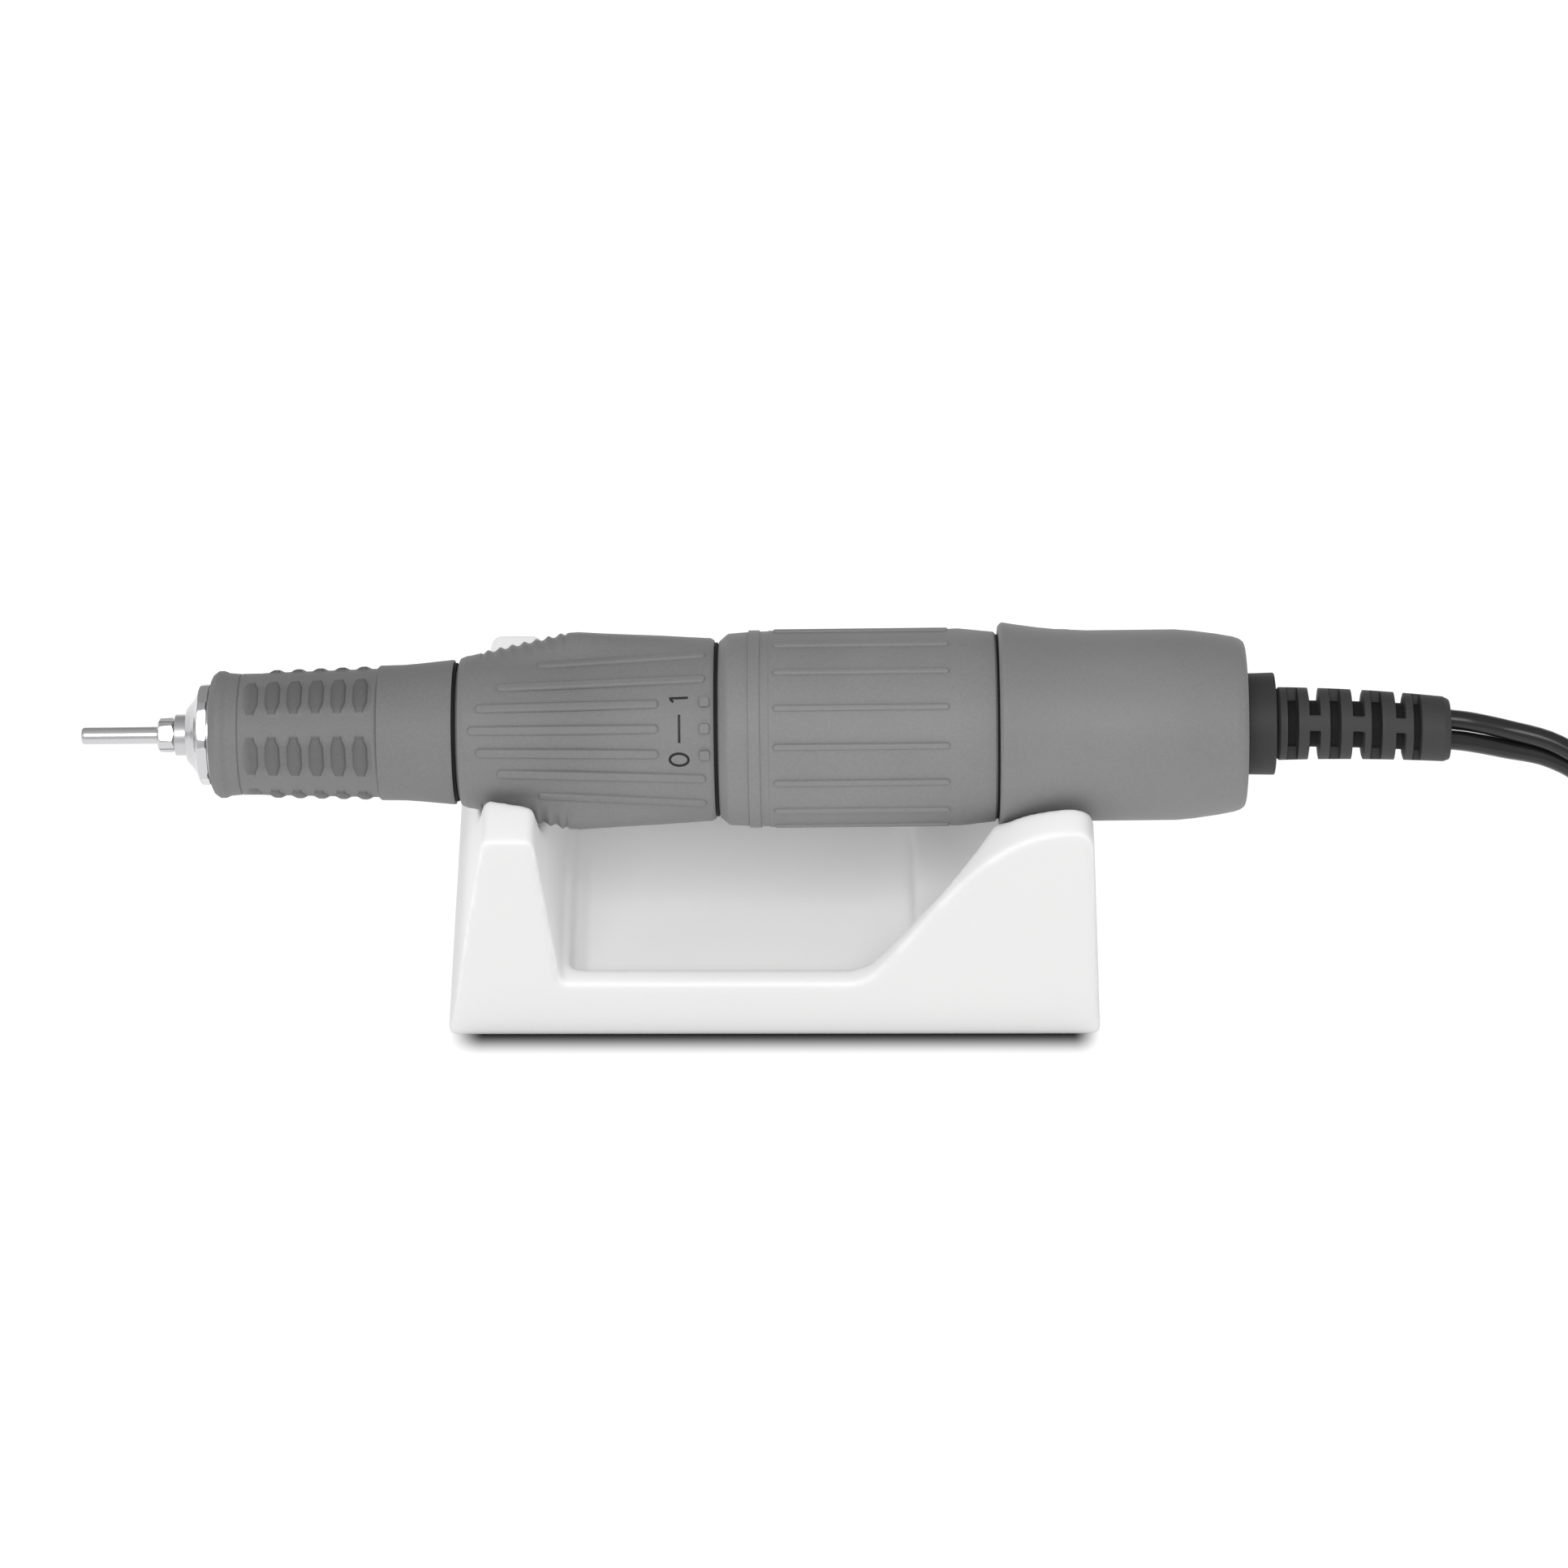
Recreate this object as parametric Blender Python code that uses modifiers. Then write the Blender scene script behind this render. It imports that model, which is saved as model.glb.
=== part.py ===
"""Straight laboratory handpiece with its own motor on a moulded cradle, with boot, twin cord and plug."""
import math

import bmesh
import bpy
from mathutils import Matrix, Vector

# Clearances shared by every piece
GAP = 0.0003  # between pieces that touch or follow each other
FIT = 0.00025  # round a shaft, race or pin in its bore
WALK = 0.0006  # between turning and still parts that only pass each other
OVER = 0.001  # how far a cutter runs past what it cuts
MERGE = 0.00001

# Facets round the axis
OUTER_SIDES = 30
INNER_SIDES = 20
SMALL_SIDES = 16
TURN = 2 * math.pi

# How the handpiece lies on the cradle
AXIS_HEIGHT = 0.038  # axis above the table, over the middle of the part
AXIS_PITCH = math.radians(0.75)  # the nose lies a little lower than the tail
FACE_LIFT = math.radians(46)  # the side with the marks looks up and to the front

# Lengths seen along the handpiece, from the nose to the cord
ROD_OUT = 0.01056
COLLET_HEAD_L = 0.00195
NOSE_L = 0.0016
NOSE_CAP_L = 0.0032
SLEEVE_L = 0.0329
SEAM = 0.00045
RING_L = 0.03485
HOUSING_L = 0.0375
REAR_CAP_L = 0.0333
COLLAR_L = 0.0037
BOOT_L = 0.0235

# Radii seen
ROD_R = 0.001175  # the standard 2.35 mm laboratory shank
COLLET_HEAD_R = 0.00237
NOSE_R = 0.0028
NOSE_CAP_R = 0.00695
SLEEVE_R = 0.0098  # at its rear rim, the widest
RING_R = 0.01232  # at its rear rim
WING_H = 0.00235  # wings stand this far off the ring
HOUSING_R = 0.0133
FLARE_R = 0.01413  # front rim of the rear cap, the widest place
COLLAR_R = 0.00693
BOOT_R = 0.00495

# Working parts inside
ROD_L = 0.0445  # a laboratory shank is 44.5 mm long
COLLET_WALL = 0.0007
COLLET_SPARE = 0.0007  # bore left behind the rod
COLLET_SLIT = 0.0004
COLLET_SLIT_L = 0.019
COLLET_SLITS = 3
COLLET_TRAVEL = 0.0007
SPINDLE_R = 0.003
SPINDLE_BODY_R = 0.0042
SPINDLE_NECK_L = 0.019  # thin front part behind the front bearing seat
DRAW_BAR_R = 0.0015
DRAW_NUT_L = 0.0011
SPRING_L = 0.0092
SPRING_WALL = 0.0006
SPINDLE_TAIL_L = 0.0121
CASE_R = 0.00675
CASE_WALL = 0.0006
CASE_DRUM_R = 0.0082  # where the release ring turns on it
BEARING_W = 0.0036
BEARING_INSET = 0.0034  # front bearing behind the nose cap's shoulder
BEARING_SPAN = 0.0347  # spacer between the two spindle bearings
RACE_share = 0.27
CROSS_PIN_R = 0.00075
CROSS_PIN_L = 0.0078
CROSS_PIN_PLACE_share = 0.28
CAM_PIN_R = 0.0009
CAM_PIN_PLACE = 0.0237  # from the front of the release ring
CAM_WALL = 0.0009
CAM_L = 0.0105
RING_TURN = math.radians(33)
FORK_R = 0.0044
FORK_HUB_L = 0.004
FORK_WEB = 0.0014
PRONG_L = 0.0033
TONGUE_W = 0.0022
TONGUE_H = 0.0072
DOG_R = 0.0042
DOG_L = 0.0036
DOG_WEB = 0.0008
SHAFT_R = 0.0025
MOTOR_BEARING_R = 0.00635
HOUSING_WALL = 0.0015
HOUSING_WEB = 0.00145
END_PLATE_L = 0.004
YOKE_WALL = 0.0012
YOKE_L = 0.0278
MAGNET_WALL = 0.0015
MAGNET_INSET = 0.002
MAGNET_ARC = math.radians(144)
AIR_GAP = 0.0006
CORE_INSET = 0.0024
CORE_SLOTS = 7
CORE_SLOT_W = 0.0012
CORE_SLOT_DEPTH = 0.0032
WINDING_INSET = 0.0009
COMMUTATOR_R = 0.0036
COMMUTATOR_L = 0.006
HOLDER_L = 0.0134
HOLDER_DISC_L = 0.0047
BRUSH_BOX_W = 0.0062
BRUSH_BOX_END = 0.0099
BRUSH_W = 0.0038
BRUSH_T = 0.0033
BRUSH_L = 0.0037
BRUSH_PLACE_share = 0.55
BRUSH_CAP_R = 0.0028
BRUSH_CAP_T = 0.0008
REAR_WALL = 0.0022
COLLAR_NECK_R = 0.0049
COLLAR_FLANGE_R = 0.0062
COLLAR_FLANGE_L = 0.0022
CORD_TAIL_R = 0.0025
CORD_TAIL_L = 0.0121
CRIMP_WALL = 0.001
CRIMP_L = 0.0025
WIRE_R = 0.0005

# Stations along the axis, measured from the tip of the rod
COLLET_S = ROD_OUT
SPINDLE_S = COLLET_S + COLLET_HEAD_L + GAP
NOSE_CAP_S = SPINDLE_S + NOSE_L
SLEEVE_S = NOSE_CAP_S + NOSE_CAP_L + GAP
RING_S = SLEEVE_S + SLEEVE_L + SEAM
HOUSING_S = RING_S + RING_L + SEAM
REAR_CAP_S = HOUSING_S + HOUSING_L + GAP
COLLAR_S = REAR_CAP_S + REAR_CAP_L + GAP
BOOT_S = COLLAR_S + COLLAR_L + GAP
END_S = BOOT_S + BOOT_L
FRONT_BEARING_S = SLEEVE_S + BEARING_INSET
REAR_BEARING_S = FRONT_BEARING_S + BEARING_W + BEARING_SPAN
SPINDLE_BODY_S = FRONT_BEARING_S + SPINDLE_NECK_L
TAIL_S = REAR_BEARING_S + BEARING_W + GAP
DRAW_BAR_S = ROD_L + COLLET_SPARE + GAP
CAM_PIN_S = RING_S + CAM_PIN_PLACE
CROSS_PIN_S = TAIL_S + SPINDLE_TAIL_L * CROSS_PIN_PLACE_share
CAM_S = CROSS_PIN_S + CROSS_PIN_R + GAP
FORK_S = TAIL_S + SPINDLE_TAIL_L - FORK_HUB_L
PRONG_S = FORK_S + FORK_HUB_L + FORK_WEB
DOG_S = PRONG_S + PRONG_L + WALK
SHAFT_S = DOG_S + DOG_WEB + GAP
CAVITY_S = HOUSING_S + HOUSING_WEB
END_PLATE_S = CAVITY_S + GAP
YOKE_S = END_PLATE_S + END_PLATE_L + GAP
CORE_S = YOKE_S + MAGNET_INSET + CORE_INSET
CORE_L = YOKE_L - 2 * (MAGNET_INSET + CORE_INSET)
YOKE_END = YOKE_S + YOKE_L
COMMUTATOR_S = YOKE_END
HOLDER_S = YOKE_END + WALK
HOLDER_DISC_S = HOLDER_S + HOLDER_L - HOLDER_DISC_L
BRUSH_S = COMMUTATOR_S + COMMUTATOR_L * BRUSH_PLACE_share
MOTOR_BEARING_2_S = HOLDER_DISC_S + (HOLDER_DISC_L - BEARING_W) / 2
REAR_INNER_S = COLLAR_S - GAP - REAR_WALL

# Radii worked out from the above
COLLET_BORE = ROD_R + FIT
COLLET_R = COLLET_BORE + COLLET_WALL
SPINDLE_BORE = COLLET_R + FIT
SPINDLE_CHAMBER = SPINDLE_BODY_R - 2 * COLLET_WALL
TAIL_BORE = DRAW_BAR_R + FIT
CASE_BORE = CASE_R - CASE_WALL
RACE_R = CASE_BORE - FIT
CAM_R = CASE_BORE - FIT
CAM_BORE = CAM_R - CAM_WALL
RING_BORE = CASE_DRUM_R + GAP
CAVITY_R = HOUSING_R - HOUSING_WALL
YOKE_R = CAVITY_R - GAP
MAGNET_R = YOKE_R - YOKE_WALL - GAP
CORE_R = MAGNET_R - MAGNET_WALL - AIR_GAP
WINDING_R = CORE_R - CORE_SLOT_W
REAR_CAVITY_R = HOUSING_R - HOUSING_WALL - GAP / 3

# Cord
CORD_R = 0.00275
CORD_SPACE = 0.0007  # between neighbouring turns
WAIST_share = 0.85  # how far the tie draws the two runs together
BOOT_DROOP = 0.00145
HANK_RUN = 0.068
HANK_FOLD_R = 0.0165
HANK_FOLD_X = 0.15  # middle of the fold next to the handpiece
TIE_W = 0.012
TIE_T = 0.0008
PLUG_R = 0.0062
PLUG_BOOT_L = 0.008
PLUG_BODY_L = 0.016
PLUG_SHELL_L = 0.007

# Cradle
CRADLE_FRONT_X = -0.0438
CRADLE_L = 0.0899
CRADLE_HALF = 0.022  # half depth at the foot
CRADLE_DRAFT = math.tan(math.radians(3.1))
HORN_H = 0.0365
HORN_W = 0.0068
HORN_LEAN = math.tan(math.radians(9.5))
HORN_FACE = math.tan(math.radians(6.3))
RIM_H = 0.0098
HILL_H = 0.0379
HILL_START_share = 0.62
HILL_CREST = 0.00016
HILL_FOOT_HANDLE_share = 0.41
HILL_TOP_HANDLE_share = 0.6
REAR_LEAN = math.tan(math.radians(3.2))
HILL_POINTS = 10
CRADLE_EDGE = 0.0022
CRADLE_WALL = 0.0028
TRAY_FLOOR = 0.003
TRAY_LEDGE = 0.00104
TRAY_REACH = 0.00866
TRAY_CORNER = 0.009
TRAY_NOTCH = 0.0018
SEAT_CLEAR = 0.0004


def clear_scene():
    """Start from an empty file."""
    for obj in list(bpy.data.objects):
        bpy.data.objects.remove(obj)


def new_collection(name):
    """A collection linked to the scene."""
    made = bpy.data.collections.new(name)
    bpy.context.scene.collection.children.link(made)
    return made


def finish(name, color, roughness, metallic=0.0):
    """One Principled material."""
    made = bpy.data.materials.new(name)
    made.use_nodes = True
    made.diffuse_color = (*color, 1.0)
    shader = made.node_tree.nodes["Principled BSDF"]
    shader.inputs["Base Color"].default_value = (*color, 1.0)
    shader.inputs["Roughness"].default_value = roughness
    shader.inputs["Metallic"].default_value = metallic
    return made


clear_scene()
PARTS = new_collection("lab_micromotor")
CUTTERS = new_collection("cutters")

FINISHES = {
    "grip_plastic": finish("grip_plastic", (0.105, 0.105, 0.108), 0.62),
    "ring_plastic": finish("ring_plastic", (0.125, 0.125, 0.128), 0.6),
    "housing_plastic": finish("housing_plastic", (0.13, 0.13, 0.133), 0.6),
    "rear_plastic": finish("rear_plastic", (0.17, 0.17, 0.172), 0.55),
    "boot_rubber": finish("boot_rubber", (0.045, 0.045, 0.047), 0.7),
    "cord_vinyl": finish("cord_vinyl", (0.012, 0.012, 0.013), 0.3),
    "cradle_plastic": finish("cradle_plastic", (0.82, 0.82, 0.81), 0.5),
    "polished_steel": finish("polished_steel", (0.75, 0.75, 0.76), 0.18, 1.0),
    "turned_steel": finish("turned_steel", (0.6, 0.6, 0.61), 0.35, 1.0),
    "anodised_aluminium": finish("anodised_aluminium", (0.55, 0.56, 0.57), 0.4, 1.0),
    "brass": finish("brass", (0.7, 0.52, 0.25), 0.3, 1.0),
    "copper": finish("copper", (0.7, 0.33, 0.18), 0.4, 1.0),
    "magnet_ferrite": finish("magnet_ferrite", (0.06, 0.06, 0.065), 0.75),
    "carbon": finish("carbon", (0.03, 0.03, 0.03), 0.8),
    "moulded_nylon": finish("moulded_nylon", (0.35, 0.33, 0.28), 0.6),
    "wire_red": finish("wire_red", (0.5, 0.03, 0.02), 0.45),
    "tie_fabric": finish("tie_fabric", (0.03, 0.03, 0.032), 0.9),
    "plug_plastic": finish("plug_plastic", (0.03, 0.03, 0.031), 0.45),
}


def place_axis():
    """The empty that carries the handpiece: z runs from nose to tail and x looks out of the marked side."""
    along = Vector((math.cos(AXIS_PITCH), 0, math.sin(AXIS_PITCH)))
    face = Vector((0, -math.cos(FACE_LIFT), math.sin(FACE_LIFT)))
    face = (face - along * face.dot(along)).normalized()
    side = along.cross(face)
    tip_x = -END_S * math.cos(AXIS_PITCH) / 2
    empty = bpy.data.objects.new("handpiece_axis", None)
    empty.empty_display_size = SLEEVE_L
    PARTS.objects.link(empty)
    turn = Matrix((face, side, along)).transposed().to_4x4()
    tip = Vector((tip_x, 0, AXIS_HEIGHT + tip_x * math.tan(AXIS_PITCH)))
    empty.matrix_world = Matrix.Translation(tip) @ turn
    return empty


AXIS = place_axis()


def on_axis(station, radius=0.0, angle=0.0):
    """World place of a point of the handpiece, given along, out from and round its axis."""
    local = Vector((radius * math.cos(angle), radius * math.sin(angle), station))
    return AXIS.matrix_world @ local


def add(name, mesh, slot, parent=AXIS, collection=None):
    """Link one object with its material."""
    obj = bpy.data.objects.new(name, mesh)
    (collection or PARTS).objects.link(obj)
    obj.parent = parent
    if slot:
        mesh.materials.clear()
        mesh.materials.append(FINISHES[slot])
    return obj


def as_cutter(obj):
    """Keep a cutter in view as wires and out of renders."""
    for holder in list(obj.users_collection):
        holder.objects.unlink(obj)
    CUTTERS.objects.link(obj)
    obj.hide_render = True
    obj.display_type = "WIRE"
    return obj


def shade(mesh):
    """Smooth round faces and keep the edges."""
    mesh.shade_smooth()
    mesh.set_sharp_from_angle(angle=math.radians(35))


def to_mesh(obj, weld=MERGE):
    """Turn an object with modifiers, or a curve, into a plain mesh object in the same place."""
    bpy.context.view_layer.update()
    graph = bpy.context.evaluated_depsgraph_get()
    mesh = bpy.data.meshes.new_from_object(obj.evaluated_get(graph))
    work = bmesh.new()
    work.from_mesh(mesh)
    bmesh.ops.remove_doubles(work, verts=work.verts, dist=weld)
    work.to_mesh(mesh)
    work.free()
    name, parent, matrix = obj.name, obj.parent, obj.matrix_world.copy()
    holders = list(obj.users_collection)
    bpy.data.objects.remove(obj)
    made = bpy.data.objects.new(name, mesh)
    for holder in holders:
        holder.objects.link(made)
    made.parent = parent
    made.matrix_world = matrix
    shade(mesh)
    return made


def turned(name, outer, inner=None, slot=None, sides=INNER_SIDES, parent=AXIS):
    """A turned piece: outer and inner sides as (station, radius) pairs, from nose to tail."""
    profile = [(r, s) for s, r in reversed(outer)]
    if inner:
        profile += [(r, s) for s, r in inner]
    else:
        profile = [(0.0, outer[-1][0])] + profile + [(0.0, outer[0][0])]
    edges = [(i, i + 1) for i in range(len(profile) - 1)]
    if inner:
        edges.append((len(profile) - 1, 0))
    mesh = bpy.data.meshes.new(name)
    mesh.from_pydata([(r, 0, s) for r, s in profile], edges, [])
    obj = add(name, mesh, slot, parent)
    screw = obj.modifiers.new("turn", "SCREW")
    screw.angle = TURN
    screw.steps = sides
    screw.render_steps = sides
    screw.use_merge_vertices = True
    screw.merge_threshold = MERGE
    screw.use_smooth_shade = True
    return obj


def tube(name, start, length, bore, radius, slot, sides=INNER_SIDES, parent=AXIS):
    """A plain tube."""
    end = start + length
    return turned(name, [(start, radius), (end, radius)], [(start, bore), (end, bore)], slot, sides, parent)


def rod(name, start, length, radius, slot=None, sides=INNER_SIDES, parent=AXIS):
    """A plain rod."""
    return turned(name, [(start, radius), (start + length, radius)], None, slot, sides, parent)


def block(name, size, centre, slot=None, turn=0.0, parent=AXIS):
    """A box with its size in its mesh, turned about the axis by an angle."""
    work = bmesh.new()
    bmesh.ops.create_cube(work, size=1.0)
    bmesh.ops.scale(work, vec=size, verts=work.verts)
    bmesh.ops.translate(work, vec=centre, verts=work.verts)
    bmesh.ops.rotate(work, cent=(0, 0, 0), matrix=Matrix.Rotation(turn, 3, "Z"), verts=work.verts)
    mesh = bpy.data.meshes.new(name)
    work.to_mesh(mesh)
    work.free()
    return add(name, mesh, slot, parent)


def radial_rod(name, station, start, end, radius, turn, slot=None, sides=SMALL_SIDES):
    """A round piece that points out from the axis."""
    work = bmesh.new()
    bmesh.ops.create_cone(
        work, cap_ends=True, segments=sides, radius1=radius, radius2=radius, depth=end - start
    )
    bmesh.ops.rotate(work, cent=(0, 0, 0), matrix=Matrix.Rotation(TURN / 4, 3, "Y"), verts=work.verts)
    bmesh.ops.translate(work, vec=((start + end) / 2, 0, station), verts=work.verts)
    bmesh.ops.rotate(work, cent=(0, 0, 0), matrix=Matrix.Rotation(turn, 3, "Z"), verts=work.verts)
    mesh = bpy.data.meshes.new(name)
    work.to_mesh(mesh)
    work.free()
    return add(name, mesh, slot)


def extruded(name, outlines, depth, slot=None, parent=AXIS):
    """A flat outline, with any holes, given a thickness either side of its own plane."""
    curve = bpy.data.curves.new(name, "CURVE")
    curve.dimensions = "2D"
    curve.fill_mode = "BOTH"
    curve.extrude = depth / 2
    for outline in outlines:
        spline = curve.splines.new("POLY")
        spline.points.add(len(outline) - 1)
        for point, (x, y) in zip(spline.points, outline):
            point.co = (x, y, 0, 1)
        spline.use_cyclic_u = True
    return add(name, curve, slot, parent)


def move_mesh(obj, matrix):
    """Move a mesh inside its object."""
    obj.data.transform(matrix)
    return obj


def boolean(target, other, operation="DIFFERENCE"):
    """Cut, join or keep what two pieces share, with the other piece kept as a cutter."""
    as_cutter(other)
    step = target.modifiers.new(operation.lower(), "BOOLEAN")
    step.operation = operation
    step.object = other
    step.solver = "EXACT"
    return target


def curve_tube(name, points, radius, slot, resolution=2, parent=None):
    """A cord or wire along a list of points."""
    curve = bpy.data.curves.new(name, "CURVE")
    curve.dimensions = "3D"
    curve.bevel_depth = radius
    curve.bevel_resolution = resolution
    curve.use_fill_caps = True
    spline = curve.splines.new("POLY")
    spline.points.add(len(points) - 1)
    for point, place in zip(spline.points, points):
        point.co = (*place, 1)
    spline.resolution_u = 1
    return add(name, curve, slot, parent)


def smooth_route(places, steps):
    """Points on a smooth curve through a route's own points."""
    made = []
    for i in range(len(places) - 1):
        before = places[max(i - 1, 0)]
        after = places[min(i + 2, len(places) - 1)]
        here, there = places[i], places[i + 1]
        for k in range(steps):
            t = k / steps
            out = (there - before) / 2
            into = (after - here) / 2
            made.append(
                here * (2 * t**3 - 3 * t**2 + 1)
                + out * (t**3 - 2 * t**2 + t)
                + there * (3 * t**2 - 2 * t**3)
                + into * (t**3 - t**2)
            )
    made.append(places[-1])
    return made


def ease(value):
    """A smooth step from 0 to 1."""
    value = min(max(value, 0.0), 1.0)
    return value * value * (3 - 2 * value)


def span(table, share):
    """Read a table of (share, value) pairs between its points."""
    for (a, low), (b, high) in zip(table, table[1:]):
        if share <= b:
            return low + (high - low) * (share - a) / (b - a)
    return table[-1][1]


# Nose: rod, collet, draw bar, spindle
CHAMBER_LEAD = 0.001
CHAMBER_S = DRAW_BAR_S + CHAMBER_LEAD
SPRING_S = CHAMBER_S + GAP
DRAW_NUT_S = SPRING_S + SPRING_L + COLLET_TRAVEL + FIT
CHAMBER_END = DRAW_NUT_S + DRAW_NUT_L + GAP
SPINDLE_END = TAIL_S + SPINDLE_TAIL_L
ROD_TIP = 0.0007
HEAD_CHAMFER = 0.00045
HEAD_FLAT_share = 1.06
HEAD_SIDES = 6
CAP_SIDES = 8
CAP_FLAT_share = 1.02
CAP_TURN = math.radians(-11.6)
CAP_SKIRT_R = CASE_BORE - FIT
CAP_SKIRT_L = BEARING_INSET - GAP
CAP_LIP_share = 0.35
NOSE_CAP_shares = (
    (0.0, 0.53), (0.17, 0.61), (0.34, 0.715), (0.54, 0.86), (0.72, 0.955), (0.9, 1.0), (1.0, 1.0),
)
SEAL_WALL = 0.0014
SEAL_L = 0.0015


def mandrel_blank():
    """The plain steel rod held in the chuck."""
    outer = [(0, ROD_R - ROD_TIP), (ROD_TIP, ROD_R), (ROD_L, ROD_R)]
    return turned("mandrel_blank", outer, None, "polished_steel", SMALL_SIDES)


def collet():
    """Chuck jaws: a hex head in front of a long slit sleeve that grips the rod."""
    end = ROD_L + COLLET_SPARE
    head_end = COLLET_S + COLLET_HEAD_L
    outer = [
        (COLLET_S, COLLET_HEAD_R - HEAD_CHAMFER),
        (COLLET_S + HEAD_CHAMFER, COLLET_HEAD_R),
        (head_end, COLLET_HEAD_R),
        (head_end, COLLET_R),
        (end, COLLET_R),
    ]
    inner = [(COLLET_S, COLLET_BORE), (end, COLLET_BORE)]
    jaws = turned("collet", outer, inner, "polished_steel", SMALL_SIDES)
    flats = tube(
        "collet_flats",
        COLLET_S - OVER,
        COLLET_HEAD_L + OVER,
        COLLET_HEAD_R * HEAD_FLAT_share,
        COLLET_HEAD_R + OVER,
        None,
        HEAD_SIDES,
    )
    boolean(jaws, flats)
    for i in range(COLLET_SLITS):
        angle = (i + 1 / 2) * TURN / COLLET_SLITS
        reach = COLLET_HEAD_R + OVER
        size = (reach, COLLET_SLIT, COLLET_SLIT_L + OVER)
        centre = (reach / 2, 0, COLLET_S + (COLLET_SLIT_L - OVER) / 2)
        boolean(jaws, block(f"collet_slit_{i}", size, centre, None, angle))
    return jaws


def draw_bar():
    """Bar that pulls the collet back into the spindle, with the nut that the spring pushes on."""
    end = CROSS_PIN_S + 3 * CROSS_PIN_R
    nut_r = SPINDLE_CHAMBER - FIT
    outer = [
        (DRAW_BAR_S, DRAW_BAR_R),
        (DRAW_NUT_S, DRAW_BAR_R),
        (DRAW_NUT_S, nut_r),
        (DRAW_NUT_S + DRAW_NUT_L, nut_r),
        (DRAW_NUT_S + DRAW_NUT_L, DRAW_BAR_R),
        (end, DRAW_BAR_R),
    ]
    bar = turned("draw_bar", outer, None, "turned_steel", SMALL_SIDES)
    hole = radial_rod("pin_hole", CROSS_PIN_S, -SPINDLE_R, SPINDLE_R, CROSS_PIN_R + FIT, 0)
    return boolean(bar, hole)


def spindle():
    """Hollow shaft that carries the collet, the spring and the draw bar."""
    body_end = REAR_BEARING_S - GAP
    outer = [
        (SPINDLE_S, NOSE_R),
        (FRONT_BEARING_S - GAP, NOSE_R),
        (FRONT_BEARING_S - GAP, SPINDLE_R),
        (SPINDLE_BODY_S, SPINDLE_R),
        (SPINDLE_BODY_S, SPINDLE_BODY_R),
        (body_end, SPINDLE_BODY_R),
        (body_end, SPINDLE_R),
        (SPINDLE_END, SPINDLE_R),
    ]
    inner = [
        (SPINDLE_S, SPINDLE_BORE),
        (CHAMBER_S, SPINDLE_BORE),
        (CHAMBER_S, SPINDLE_CHAMBER),
        (CHAMBER_END, SPINDLE_CHAMBER),
        (CHAMBER_END, TAIL_BORE),
        (SPINDLE_END, TAIL_BORE),
    ]
    shaft = turned("spindle", outer, inner, "turned_steel")
    reach = CROSS_PIN_R + FIT
    low = CROSS_PIN_S - reach - COLLET_TRAVEL
    high = CROSS_PIN_S + reach
    size = (2 * (SPINDLE_R + OVER), 2 * reach, high - low)
    return boolean(shaft, block("pin_slots", size, (0, 0, (low + high) / 2)))


def chuck_parts():
    """Spring round the draw bar and the pin across it."""
    bore = DRAW_BAR_R + FIT
    tube("chuck_spring", SPRING_S, SPRING_L, bore, bore + SPRING_WALL, "turned_steel", SMALL_SIDES)
    half = CROSS_PIN_L / 2
    radial_rod("cross_pin", CROSS_PIN_S, -half, half, CROSS_PIN_R, 0, "turned_steel")


def nose_cap():
    """Domed steel nut that closes the nose and holds the front bearing."""
    outer = [(NOSE_CAP_S + NOSE_CAP_L * a, NOSE_CAP_R * b) for a, b in NOSE_CAP_shares]
    shoulder = NOSE_CAP_S + NOSE_CAP_L
    end = SLEEVE_S + CAP_SKIRT_L
    outer += [(shoulder, CAP_SKIRT_R), (end, CAP_SKIRT_R)]
    lip = NOSE_CAP_S + NOSE_CAP_L * CAP_LIP_share
    inner = [
        (NOSE_CAP_S, NOSE_R + FIT),
        (lip, NOSE_R + FIT),
        (lip, NOSE_R + FIT + SEAL_WALL + FIT),
        (end, NOSE_R + FIT + SEAL_WALL + FIT),
    ]
    cap = turned("nose_cap", outer, inner, "polished_steel", 3 * CAP_SIDES)
    flats = tube(
        "cap_flats",
        NOSE_CAP_S - OVER,
        NOSE_CAP_L + 2 * OVER,
        NOSE_CAP_R * CAP_FLAT_share,
        NOSE_CAP_R + 2 * OVER,
        None,
        CAP_SIDES,
    )
    move_mesh(flats, Matrix.Rotation(CAP_TURN + TURN / CAP_SIDES / 2, 4, "Z"))
    boolean(cap, flats)
    tube("dust_seal", lip + GAP, SEAL_L, NOSE_R + FIT, NOSE_R + FIT + SEAL_WALL, "boot_rubber", SMALL_SIDES)


# Bearings
BALL_SIDES = 4


def bearing(name, start, bore, radius):
    """Ball bearing: outer race, inner race and the ring of balls in their cage."""
    race = (radius - bore) * RACE_share
    tube(f"{name}_outer_race", start, BEARING_W, radius - race, radius, "polished_steel")
    tube(f"{name}_inner_race", start, BEARING_W, bore, bore + race, "polished_steel")
    centre = (bore + radius) / 2
    ball = (radius - bore) / 2 - race - FIT
    middle = start + BEARING_W / 2
    ring = [(middle + ball * math.sin(a), centre + ball * math.cos(a)) for a in half_turn(BALL_SIDES // 2)]
    back = [(middle + ball * math.sin(a), centre - ball * math.cos(a)) for a in half_turn(BALL_SIDES // 2)]
    turned(f"{name}_balls", ring, back, "polished_steel")


def half_turn(count):
    """Angles from one pole to the other, short of the poles."""
    return [(i + 1 / 2) * math.pi / count - math.pi / 2 for i in range(count)]


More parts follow.
